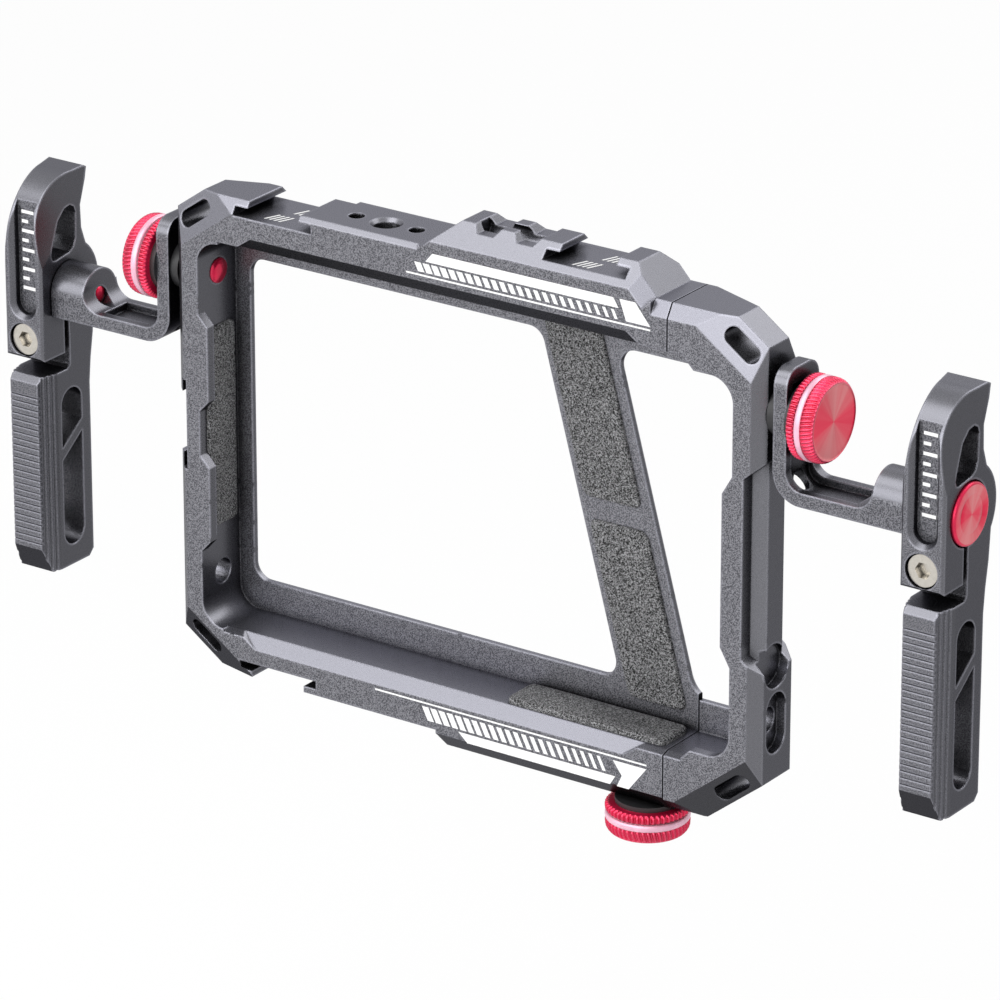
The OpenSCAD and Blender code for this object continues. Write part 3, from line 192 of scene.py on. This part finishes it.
def rgb(r, g, b):
    """A linear colour from its screen values."""
    def lin(c):
        c = c / 255
        return c / 12.92 if c <= 0.04045 else ((c + 0.055) / 1.055) ** 2.4
    return (lin(r), lin(g), lin(b), 1.0)


def darker(colour, share):
    """The colour at a share of its light."""
    return (colour[0] * share, colour[1] * share, colour[2] * share, 1.0)


# Materials

ANYWHERE = -100


def node_joints():
    """Flat joints between the cage's nodes, as axis, place on it and least Y at which they would show."""
    column = box_mm("left_column_wall")
    corner = box_mm("left_column_head")
    upper = box_mm("upper_back_lip")
    lower = box_mm("lower_back_lip")
    arm = box_mm("arm_wall")
    rail = box_mm("top_rail")
    along_x, along_z = 0, 2
    behind = upper[0].y + 0.3
    return [(along_x, corner[1].x, ANYWHERE), (along_x, rail[0].x, ANYWHERE),
            (along_z, column[0].z, ANYWHERE), (along_z, column[1].z, ANYWHERE), (along_z, arm[0].z, ANYWHERE),
            (along_z, upper[0].z, ANYWHERE), (along_z, lower[1].z, ANYWHERE),
            (along_z, upper[1].z, behind), (along_z, lower[0].z, behind)]


EDGE_R = 0.0005
SPECKS_PER_M = 4600
JOINT_NEAR = 0.0004
JOINT_CLEAR = 0.0006
SEAM_CORE = 0.00012
SEAM_RIM = 0.0002


def blasted(name, dark, light, cut_and_highlight, edge_highlight, deep, joints=(), seam_x=None):
    """Anodised aluminium: blasted fronts that sparkle; up-facing bevels and tops paler, partly their smooth
    machined finish and partly painted highlight; painted highlight on edges; painted shade on sides,
    undersides and in holes.
    """
    s = Shader(name)
    spot = s.split(s.place())
    nx, ny, nz = s.facing()
    level = abs(ny)
    front = s.step(level, 0.965, 0.99)
    # Up-facing bevels and tops get the paler colour: partly their smooth machined finish, partly a painted
    # highlight from the light above.
    bevel = s.step(nz, 0.12, 0.3) * s.step(level, 0.3, 0.5) * (1 - front)
    bevel = bevel * (1 - s.step(nz, 0.5, 0.68) * 0.6)
    lit_top = s.step(nz, 0.9, 0.99)
    side = s.step(abs(nx), 0.6, 0.97)
    shaded_underside = s.step(-nz, 0.1, 0.35)
    grain = s.noise(SPECKS_PER_M, 1, 0.7)
    tone = s.step(grain, 0.4, 0.6)
    speckle = 0.5 + (tone - 0.5) * (front * 0.85 + 0.15)
    colour = s.mix(speckle, dark, light)
    colour = s.mix(bevel + lit_top, colour, cut_and_highlight)
    # Painted shade: faces turned to either side are darkened.
    colour = s.mix(side * 0.52, colour, darker(dark, 0.4))
    # Painted shade: downward faces are darkened.
    colour = s.mix(shaded_underside * 0.76, colour, darker(dark, 0.12))
    rounded = s.round_edge(EDGE_R)
    crest = s.crest(EDGE_R) * (1 - shaded_underside)
    if joints:
        clear = None
        for axis, at, least_y in joints:
            shown = s.step(abs(spot[axis] - at * MM), JOINT_NEAR, JOINT_CLEAR)
            if least_y != ANYWHERE:
                shown = 1 - (1 - shown) * s.step(spot[1], (least_y - 0.1) * MM, least_y * MM)
            clear = shown if clear is None else clear * shown
        crest = crest * clear
        flat = s.node("ShaderNodeNewGeometry", out="Normal")
        rounded = s.blend_normal(clear, flat, rounded)
    # Painted highlight: outward edges, left off downward faces and joints, are mixed toward the pale edge
    # colour.
    colour = s.mix(crest * 0.35, colour, edge_highlight)
    # Painted shade deep in holes, slots and corners.
    colour = s.mix(s.painted_hollow_shade(deep) * 0.9, colour, darker(dark, 0.06))
    if seam_x:
        seam = s.step(abs(spot[0] - seam_x * MM), SEAM_RIM, SEAM_CORE)
        colour = s.mix(seam, colour, darker(dark, 0.05))
    rough = 0.3 + front * 0.16 + (tone - 0.5) * 0.06
    normal = s.bump(grain, 0.00003, 0.1 + front * 0.3, rounded)
    return s.set(base_color=colour, metallic=0.9, roughness=rough, specular_tint=(0.45, 0.45, 0.47, 1.0),
                 normal=normal)


def plain(name, colour, rough, metallic=0.0):
    """One colour with a faint grain and painted shade in its holes."""
    s = Shader(name)
    grain = s.noise(900, 3)
    tone = s.mix(grain, colour, darker(colour, 0.75))
    # Painted shade in holes.
    return s.set(base_color=s.mix(s.painted_hollow_shade(0.0015) * 0.9, tone, darker(colour, 0.06)), metallic=metallic,
                 roughness=rough + (grain - 0.5) * 0.1, normal=s.bump(grain, 0.00002, 0.4))


def anodised_red(name, colour, crest_highlight, rough, metallic):
    """Glossy coloured anodising with a faint cloud, painted highlights on crests and painted shade in
    grooves.
    """
    s = Shader(name)
    cloud = s.noise(300, 3)
    crest = s.crest(0.0003)
    tone = s.mix(s.step(cloud, 0.35, 0.65), darker(colour, 0.85), colour)
    # Painted shade in grooves.
    tone = s.mix(s.painted_hollow_shade(0.0009), tone, darker(colour, 0.3))
    normal = s.bump(cloud, 0.00001, 0.4, s.round_edge(0.00012))
    # Painted highlight on crests.
    return s.set(base_color=s.mix(crest * 0.5, tone, crest_highlight), metallic=metallic,
                 roughness=rough + (cloud - 0.5) * 0.1, normal=normal)


def spun_red(name, colour, painted_sheen):
    """Red anodising over a turned face: fine rings about the piece's own axis and a painted fan of sheen
    standing in for the face's highlight.
    """
    s = Shader(name)
    x, y = s.split(s.place())[:2]
    radius = (x * x + y * y) ** 0.5 + 0.00001
    turns = {"W": radius * 9000.0, "Scale": 1.0, "Detail": 3.0}
    ring = s.node("ShaderNodeTexNoise", turns, noise_dimensions="1D")
    rim_spot = s.node("ShaderNodeCombineXYZ", [x / radius, y / radius])
    # Radial streaks and a two-lobed fan: painted highlight of the turned face, over its fine rings.
    ray = s.noise(2.6, 5, 0.55, rim_spot)
    angle = s.node("ShaderNodeMath", [y, x], operation="ARCTAN2")
    painted_sheen_fan = s.node("ShaderNodeMath", [angle * 2.0 + 0.5], operation="COSINE")
    tone = s.step(painted_sheen_fan * 0.28 + ray * 0.7 + ring * 0.25, 0.1, 1.0)
    return s.set(base_color=s.mix(tone, colour, painted_sheen), metallic=0.95, roughness=0.34 + (ring - 0.5) * 0.12,
                 anisotropic=0.85, normal=s.bump(ring, 0.00001, 0.5, s.round_edge(0.00015)))


def leather_pad():
    """Soft dark pad with the fine wrinkles of leather, painted shade in their creases and at the pad's foot.
    """
    s = Shader("pad_rubber")
    wrinkles = {"Vector": s.place(), "Scale": 4000.0, "Detail": 0.0, "Distortion": 1.4}
    fold = s.node("ShaderNodeTexNoise", wrinkles)
    crease = s.step(fold, 0.38, 0.53)
    # The wrinkle pattern is the leather's grain; its near-black creases are painted shade.
    colour = s.mix(crease, rgb(148, 148, 150), rgb(3, 3, 3))
    # Painted shade at the pad's foot and in hollows.
    colour = s.mix(s.painted_hollow_shade(0.002), colour, rgb(4, 4, 4))
    return s.set(base_color=colour, roughness=0.6 - crease * 0.1, specular_ior_level=0.3,
                 normal=s.bump(crease * -1.0, 0.00006, 0.6))


SEAM_X = box_mm("top_rail")[1].x
# Paler colour for up-facing bevels and tops: partly smooth machined finish, partly painted highlight from the
# light above.
CUT_AND_HIGHLIGHT = rgb(128, 128, 136)
# Pale colour of the painted edge highlight.
EDGE_HIGHLIGHT = rgb(190, 190, 202)
GREY = blasted("grey_anodised", rgb(80, 80, 85), rgb(142, 142, 148), CUT_AND_HIGHLIGHT, EDGE_HIGHLIGHT, 0.004, node_joints(), SEAM_X)
DARK = blasted("dark_anodised", rgb(74, 74, 79), rgb(136, 136, 142), rgb(110, 110, 116), EDGE_HIGHLIGHT, 0.008)
# In RED and PALE the second colour is the painted highlight on crests.
RED = anodised_red("red_anodised", rgb(220, 26, 72), rgb(250, 140, 168), 0.3, 0.65)
STEEL = plain("steel", rgb(170, 170, 174), 0.3, 1.0)
SILVER = plain("screw_steel", rgb(214, 209, 200), 0.25, 1.0)
BRASS = plain("brass", rgb(196, 162, 84), 0.3, 1.0)
BLACK = plain("black_plastic", rgb(38, 38, 40), 0.5)
PAD = leather_pad()
PALE = anodised_red("pale_band", rgb(240, 186, 206), rgb(250, 220, 230), 0.35, 0.3)
INK = plain("white_ink", rgb(248, 248, 248), 0.55)
# The second colour is the painted sheen of the turned face.
FACE = spun_red("spun_face", rgb(214, 40, 72), rgb(218, 138, 140))
BY_SLOT = {"grey_anodised": GREY, "dark_anodised": DARK, "red_anodised": RED, "steel": STEEL,
           "screw_steel": SILVER, "brass": BRASS, "black_plastic": BLACK, "pad_rubber": PAD}

SLOT_OF = {p["node"]: p["material_slot"] for p in frame["record"]["subparts"]}
for name, slot_name in SLOT_OF.items():
    obj = bpy.data.objects[name]
    obj.data.materials.clear()
    obj.data.materials.append(BY_SLOT[slot_name])


# Mesh helpers

def piece(name, verts, faces, body, materials, picks=None, smooth=True, matrix=None):
    """A mesh piece in millimetres that rides a body."""
    mesh = bpy.data.meshes.new(name)
    mesh.from_pydata([Vector(v) * MM for v in verts], [], faces)
    for material in materials:
        mesh.materials.append(material)
    for k, polygon in enumerate(mesh.polygons):
        polygon.use_smooth = smooth
        if picks:
            polygon.material_index = picks[k]
    mesh.validate()
    obj = bpy.data.objects.new(name, mesh)
    bpy.context.collection.objects.link(obj)
    if matrix:
        obj.matrix_world = matrix
    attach(obj, body)
    return obj


def turned(rows, n, radius_at):
    """Skin of a turned form from rows of height, radius and material, its first and last rows closed."""
    verts = []
    for row in rows:
        for j in range(n):
            a = 2 * math.pi * j / n
            r = radius_at(row, a)
            verts.append((r * math.cos(a), r * math.sin(a), row[0]))
    faces = []
    picks = []
    for k in range(len(rows) - 1):
        for j in range(n):
            i = (j + 1) % n
            faces.append((k * n + j, k * n + i, (k + 1) * n + i, (k + 1) * n + j))
            picks.append(rows[k + 1][2])
    faces.append(tuple(range(n - 1, -1, -1)))
    picks.append(rows[0][2])
    last = (len(rows) - 1) * n
    faces.append(tuple(last + j for j in range(n)))
    picks.append(rows[-1][2])
    return verts, faces, picks


ALONG_X = Matrix.Rotation(math.pi / 2, 4, "Y")
AGAINST_X = Matrix.Rotation(-math.pi / 2, 4, "Y")
DOWN = Matrix.Rotation(math.pi, 4, "X")


# Knurled knobs

TOOTH_STEPS = 6
KNURL_D = 0.62
KNOB_H = 5.9
OUTER_BAND_Z = 3.38
TOOTH_LEAN = 0.03
FACE_R = 7.28
FACE_Z = 5.7
FACE_RINGS = 14
RING_STEP = 0.006


def knob_rows():
    """Stations up the knob as height, radius, material and depth of knurl."""
    red, pale, face = 0, 1, 2
    rows = [(0.0, 7.4, red, 0), (0.12, 7.75, red, 0.2), (0.32, 8.1, red, 0.7)]
    rows += [(z, 8.3, red, 1) for z in (0.55, 0.95, 1.35)]
    rows += [(1.6, 8.16, red, 0.8), (1.76, 7.9, red, 0.3), (1.82, 7.55, red, 0), (1.96, 7.55, red, 0)]
    rows += [(2.0, 7.98, pale, 0), (2.1, 8.16, pale, 0), (2.35, 8.27, pale, 0), (2.72, 8.3, pale, 0)]
    rows += [(3.1, 8.26, pale, 0), (3.32, 8.14, pale, 0)]
    rows += [(OUTER_BAND_Z, 7.94, red, 0.2), (3.5, 8.16, red, 0.8)]
    rows += [(3.75, 8.28, red, 1), (4.3, 8.26, red, 1), (4.8, 8.2, red, 1), (5.2, 8.06, red, 1)]
    rows += [(5.48, 7.86, red, 0.8), (5.6, 7.74, red, 0.4), (5.76, 7.58, red, 0), (5.84, 7.48, red, 0)]
    rows += [(5.86, 7.4, red, 0), (5.82, 7.33, red, 0), (5.72, FACE_R, face, 0)]
    for k in range(1, FACE_RINGS):
        rows.append((FACE_Z + RING_STEP * (k % 2), FACE_R * (1 - k / FACE_RINGS), face, 0))
    return rows


def make_knob(node, body, turn, teeth):
    """A knob with its stud, on the node's own place; the turn points its face outward."""
    low, high = box_mm(node)
    middle = (low + high) / 2
    out = turn @ Vector((0, 0, 1))
    length = abs((high - low).dot(out))
    deep = length - KNOB_H
    spots = [v.co / MM - middle for v in bpy.data.objects[node].data.vertices]
    stud = max((v - out * v.dot(out)).length for v in spots if v.dot(out) < -length / 2 + 0.01)

    def radius_at(row, a):
        slant = TOOTH_LEAN * max(0.0, row[0] - OUTER_BAND_Z)
        wave = abs(math.sin(teeth * (a + slant) / 2)) ** 1.5
        return row[1] - KNURL_D * row[3] * (1 - wave)

    rows = [(-deep, 0.3 * stud, 0, 0), (-deep, stud, 0, 0), (0.0, stud, 0, 0)] + knob_rows()
    verts, faces, picks = turned(rows, teeth * TOOTH_STEPS, radius_at)
    matrix = Matrix.Translation((middle + out * (length / 2 - KNOB_H)) * MM) @ turn
    materials = [RED, PALE, FACE]
    obj = piece("knurled_" + node, verts, faces, body, materials, picks, matrix=matrix)
    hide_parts(node)


make_knob("right_thumb_knob", "right_knob", ALONG_X, 60)
make_knob("left_thumb_knob", "left_knob", AGAINST_X, 60)
make_knob("lock_knob", "lock_knob", DOWN, 48)


# Pivot caps

CAP_SIDES = 96


def make_cap(side, turn):
    """A spun cap with one fine ring round its face, and its shank."""
    node = side + "_pivot_cap"
    low, high = box_mm(node)
    out = 1 if side == "right" else -1
    axis_z = (low.z + high.z) / 2
    radius = (high.z - low.z) / 2
    outer = high.x if out > 0 else low.x
    spots = [v.co / MM for v in bpy.data.objects[node].data.vertices]
    head = [abs(v.x - outer) for v in spots if math.hypot(v.y, v.z - axis_z) > radius * 0.97]
    shank = [math.hypot(v.y, v.z - axis_z) for v in spots if abs(v.x - outer) > max(head) + 0.5]
    length = high.x - low.x
    deep = length - max(head)
    shank_r = max(shank)
    red, face = 0, 1
    rows = [(0.0, 0.4 * shank_r, red), (0.0, shank_r, red), (deep, shank_r, red), (deep, radius, red)]
    rows += [(length - 0.45, radius, red), (length - 0.2, radius - 0.09, red)]
    rows += [(length - 0.05, radius - 0.28, red), (length, radius - 0.5, red)]
    rows += [(length - 0.01, radius - 0.6, face), (length - 0.02, 0.66 * radius, face)]
    rows += [(length - 0.09, 0.64 * radius, face), (length - 0.09, 0.61 * radius, face)]
    rows += [(length - 0.02, 0.59 * radius, face)]
    rows += [(length - 0.025, share * radius, face) for share in (0.4, 0.2, 0.05)]
    verts, faces, picks = turned(rows, CAP_SIDES, lambda row, a: row[1])
    matrix = Matrix.Translation(Vector((outer - out * length, 0, axis_z)) * MM) @ turn
    body = side + "_bracket"
    obj = piece("spun_" + node, verts, faces, body, [RED, FACE], picks, matrix=matrix)
    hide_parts(node)


make_cap("right", ALONG_X)
make_cap("left", AGAINST_X)


# Leather pads

PAD_STEP = 0.24
PAD_RIM = 0.35
PAD_GRAIN = 0.04
PAD_CELLS_PER_MM = 1.5
PAD_FOOT = 0.005


def make_pad(node, body, corner, along, across, up, round_r, crown):
    """A crowned pad on the parallelogram from a corner along two edges, as high as up."""
    corner, along, across, up = (Vector(v) for v in (corner, along, across, up))
    size_a = along.length
    size_b = across.length
    high = up.length
    out = up.normalized()
    n = max(8, round(size_a / PAD_STEP))
    m = max(8, round(size_b / PAD_STEP))
    half_a = size_a / 2
    half_b = size_b / 2

    def rounded(a, b):
        da = abs(a) - (half_a - round_r)
        db = abs(b) - (half_b - round_r)
        if da <= 0 or db <= 0:
            return a, b
        share = max(da, db) / math.hypot(da, db)
        new_a = half_a - round_r + da * share
        new_b = half_b - round_r + db * share
        return math.copysign(new_a, a), math.copysign(new_b, b)

    def inside(a, b):
        da = abs(a) - (half_a - round_r)
        db = abs(b) - (half_b - round_r)
        if da > 0 and db > 0:
            return round_r - math.hypot(da, db)
        return min(half_a - abs(a), half_b - abs(b))

    def at(a, b, h):
        return corner + along * (a / size_a + 0.5) + across * (b / size_b + 0.5) + out * h

    verts = []
    for i in range(n + 1):
        for j in range(m + 1):
            a, b = rounded(size_a * (i / n - 0.5), size_b * (j / m - 0.5))
            rim = min(1.0, max(0.0, inside(a, b)) / PAD_RIM)
            drop = PAD_RIM * (1 - math.sqrt(max(0.0, 1 - (1 - rim) ** 2)))
            swell = crown * (1 - (a / half_a) ** 4) * (1 - (b / half_b) ** 4)
            near = noise.voronoi(at(a, b, 0) * PAD_CELLS_PER_MM)[0]
            grain = PAD_GRAIN * min(1.0, (near[1] - near[0]) * 2.2) * rim
            verts.append(at(a, b, high - crown - PAD_GRAIN + swell + grain - drop))
    faces = []
    for i in range(n):
        for j in range(m):
            k = i * (m + 1) + j
            faces.append((k, k + m + 1, k + m + 2, k + 1))
    loop = [i * (m + 1) for i in range(n)] + [n * (m + 1) + j for j in range(m)]
    loop += [i * (m + 1) + m for i in range(n, 0, -1)] + [j for j in range(m, 0, -1)]
    base = len(verts)
    for k in loop:
        spot = verts[k]
        verts.append(spot - out * ((spot - corner).dot(out) - PAD_FOOT))
    count = len(loop)
    for k in range(count):
        nxt = (k + 1) % count
        faces.append((loop[nxt], loop[k], base + k, base + nxt))
    faces.append(tuple(base + k for k in range(count)))
    if along.cross(across).dot(out) < 0:
        faces = [tuple(reversed(f)) for f in faces]
    obj = piece("grained_" + node, verts, faces, body, [PAD])
    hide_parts(node)


def bar_pad(node):
    """A pad on the slanted bar, on the parallelogram of its node."""
    spots = [v.co / MM for v in bpy.data.objects[node].data.vertices]
    back = max(v.y for v in spots)
    front = min(v.y for v in spots)
    low = min(v.z for v in spots)
    high = max(v.z for v in spots)
    foot = [v.x for v in spots if v.z < low + 0.1]
    head = [v.x for v in spots if v.z > high - 0.1]
    make_pad(node, "frame", (min(foot), back, low), (max(foot) - min(foot), 0, 0),
             (min(head) - min(foot), 0, high - low), (0, front - back, 0), 1.8, 0.2)


bar_pad("upper_bar_pad")
bar_pad("lower_bar_pad")
low, high = box_mm("floor_pad")
size = high - low
make_pad("floor_pad", "frame", low, (size.x, 0, 0), (0, size.y, 0), (0, 0, size.z), 1.6, 0.3)
low, high = box_mm("left_wall_pad")
size = high - low
make_pad("left_wall_pad", "frame", low, (0, size.y, 0), (0, 0, size.z), (size.x, 0, 0), 1.4, 0.2)
low, high = box_mm("right_wall_pad")
size = high - low
corner = (high.x, low.y, low.z)
make_pad("right_wall_pad", "arm", corner, (0, size.y, 0), (0, 0, size.z), (-size.x, 0, 0), 1.4, 0.2)


# White ink marks

INK_T = 0.05
INK_ROOT = 0.03


def ink(name, body, outlines, origin, along, across):
    """Thin closed plates of ink over flat outlines, given as points along and across from an origin."""
    origin, along, across = (Vector(v) for v in (origin, along, across))
    out = along.cross(across).normalized()
    verts = []
    faces = []
    for outline in outlines:
        base = len(verts)
        n = len(outline)
        for h in (-INK_ROOT, INK_T):
            verts += [origin + along * a + across * b + out * h for a, b in outline]
        faces.append(tuple(base + k for k in reversed(range(n))))
        faces.append(tuple(base + n + k for k in range(n)))
        for k in range(n):
            i = (k + 1) % n
            faces.append((base + k, base + i, base + n + i, base + n + k))
    return piece(name, verts, faces, body, [INK], smooth=False)


def leaning_bar(x, z0, z1, w, lean):
    """Outline of a bar of width w from z0 to z1 that leans sideways."""
    shift = lean * (z1 - z0)
    return [(x, z0), (x + w, z0), (x + w + shift, z1), (x + shift, z1)]


def block(a0, b0, a1, b1):
    """Outline of an upright rectangle between two corners."""
    return [(a0, b0), (a1, b0), (a1, b1), (a0, b1)]


FRONT_Y = box_mm("bottom_bar")[0].y
RIGHT = (1, 0, 0)
UP = (0, 0, 1)
BACKWARD = (0, 1, 0)
BAND_STEP = 1.95
BAND_W = 1.5
BAND_THINNER = 0.035
BAND_LEAN = -0.5


def band(x, z0, z1, count):
    """A row of leaning bars, each thinner than the one before."""
    bars = []
    for k in range(count):
        bars.append(leaning_bar(x + BAND_STEP * k, z0, z1, BAND_W - BAND_THINNER * k, BAND_LEAN))
    return bars


top_marks = [block(-12, 97.9, 43.6, 98.25), [(-7.5, 101.0), (36.5, 101.0), (35.3, 102.9), (-5.9, 102.9)]]
top_marks += band(-9.2, 98.75, 100.55, 24)
top_marks.append([(38.2, 98.75), (43.6, 98.75), (40.2, 102.9), (36.7, 102.9)])
ink("top_marks", "frame", top_marks, (0, FRONT_Y, 0), RIGHT, UP)
low_marks = [block(-20, 9.5, 43.6, 9.85), [(2.0, 3.7), (35.3, 3.7), (36.5, 5.6), (-0.2, 5.6)]]
low_marks += band(-7.4, 6.1, 8.9, 22)
low_marks.append([(36.9, 3.7), (39.6, 3.7), (43.6, 8.9), (35.9, 8.9), (38.0, 6.1)])
ink("low_marks", "frame", low_marks, (0, FRONT_Y, 0), RIGHT, UP)

TICK_STEP = 1.1
TICK_W = 0.5
TICK_LEAN = 0.4
SHOE_DEEP = 3.0
for name, carrier, middle in (("left_shoe_ticks", "top_bar", -43.8), ("right_shoe_ticks", "top_rail", 27.8)):
    floor_z = box_mm(carrier)[1].z - SHOE_DEEP
    ticks = [leaning_bar(-3.4 + TICK_STEP * k, -4.6, -1.4, TICK_W, TICK_LEAN) for k in range(4)]
    ticks += [leaning_bar(-0.2 + TICK_STEP * k, 0.6, 3.8, TICK_W, TICK_LEAN) for k in range(4)]
    ink(name, "frame", ticks, (middle, 0, floor_z), RIGHT, BACKWARD)

RECESS_Y = -6.2
RUNG_STEP = 4.0
for side in ("left", "right"):
    body = side + "_handle"
    low, high = box_mm(body)
    middle = (low.x + high.x) / 2
    rungs = [block(-1.5, 90.6 - RUNG_STEP * k, 1.5, 91.3 - RUNG_STEP * k) for k in range(5)]
    rungs += [block(-1.5, 88.6 - RUNG_STEP * k, 0.1, 89.3 - RUNG_STEP * k) for k in range(4)]
    ink(side + "_handle_marks", body, rungs, (middle, RECESS_Y, 0), RIGHT, UP)


# Floor, light and camera

FLOOR_HALF = 6.0
FLOOR_DROP = 0.09
FLOOR_WHITE = 0.92


def seen_directly(tree):
    """1 for rays from the camera, from metal and through clear things, else 0."""
    path = tree.nodes.new("ShaderNodeLightPath")
    total = None
    for name in ("Is Camera Ray", "Is Glossy Ray", "Is Transmission Ray"):
        if total is None:
            total = path.outputs[name]
            continue
        add = tree.nodes.new("ShaderNodeMath")
        add.use_clamp = True
        tree.links.new(total, add.inputs[0])
        tree.links.new(path.outputs[name], add.inputs[1])
        total = add.outputs[0]
    return total


def make_floor():
    """A pale floor that the camera sees as white with a faint shadow."""
    s = Shader("floor")
    seen = Val(s, seen_directly(s.tree))
    white = s.node("ShaderNodeEmission", {"Color": (1, 1, 1, 1), "Strength": 1.0})
    s.set(base_color=rgb(245, 245, 245), roughness=0.9)
    both = s.node("ShaderNodeMixShader", [seen * FLOOR_WHITE, Val(s, s.surface.outputs[0]), white])
    s.tree.links.new(both.socket, s.tree.nodes["Material Output"].inputs["Surface"])
    mesh = bpy.data.meshes.new("floor")
    half = FLOOR_HALF
    z = CAD_BOX[0][2] - FLOOR_DROP
    corners = [(-half, -half, z), (half, -half, z), (half, half, z), (-half, half, z)]
    mesh.from_pydata(corners, [], [(0, 1, 2, 3)])
    mesh.materials.append(s.material)
    floor = bpy.data.objects.new("floor", mesh)
    bpy.context.collection.objects.link(floor)


def make_world(fill):
    """A white world that lights rough surfaces with a fill only."""
    world = bpy.data.worlds.new("studio")
    bpy.context.scene.world = world
    world.use_nodes = True
    tree = world.node_tree
    back = tree.nodes["Background"]
    back.inputs["Color"].default_value = (1, 1, 1, 1)
    ramp = tree.nodes.new("ShaderNodeMapRange")
    tree.links.new(seen_directly(tree), ramp.inputs[0])
    ramp.inputs["To Min"].default_value = fill
    ramp.inputs["To Max"].default_value = 1.0
    tree.links.new(ramp.outputs[0], back.inputs["Strength"])


def toward(azimuth, elevation):
    """Direction to a spot in front of the object, right of straight ahead by an azimuth."""
    level = math.cos(elevation)
    return Vector((math.sin(azimuth) * level, -math.cos(azimuth) * level, math.sin(elevation)))


LAMP_TARGET = Vector((0, 0, 55)) * MM


def lamp(name, azimuth, elevation, distance, size, brightness):
    """A soft box about the object; its power follows from the brightness of its face."""
    data = bpy.data.lights.new(name, "AREA")
    data.shape = "RECTANGLE"
    data.size = size[0]
    data.size_y = size[1]
    data.energy = brightness * math.pi * size[0] * size[1]
    obj = bpy.data.objects.new(name, data)
    bpy.context.collection.objects.link(obj)
    away = toward(math.radians(azimuth), math.radians(elevation))
    obj.location = LAMP_TARGET + away * distance
    obj.rotation_euler = (-away).to_track_quat("-Z", "Y").to_euler()


TARGET = Vector((9.67, -6.8, 56.32)) * MM
DISTANCE = 1283.6 * MM
AZIMUTH = math.radians(34.843)
ELEVATION = math.radians(22.103)
SENSOR = 36.0
LENS = 242.943


def make_camera():
    """The camera as fitted to the photo."""
    data = bpy.data.cameras.new("camera")
    data.sensor_width = SENSOR
    data.lens = LENS
    data.clip_start = 0.05
    data.clip_end = 50
    camera = bpy.data.objects.new("camera", data)
    bpy.context.collection.objects.link(camera)
    back = toward(AZIMUTH, ELEVATION)
    camera.location = TARGET + back * DISTANCE
    camera.rotation_euler = (-back).to_track_quat("-Z", "Y").to_euler()
    bpy.context.scene.camera = camera


make_floor()
make_world(fill=0.3)
lamp("front_box", -5, 22, 1.0, (1.75, 0.72), 2.6)
lamp("high_box", -30, 60, 1.1, (1.0, 0.6), 2.7)
lamp("back_box", 165, 45, 1.2, (1.4, 0.7), 2.2)
make_camera()
bpy.context.scene.view_settings.view_transform = "Standard"
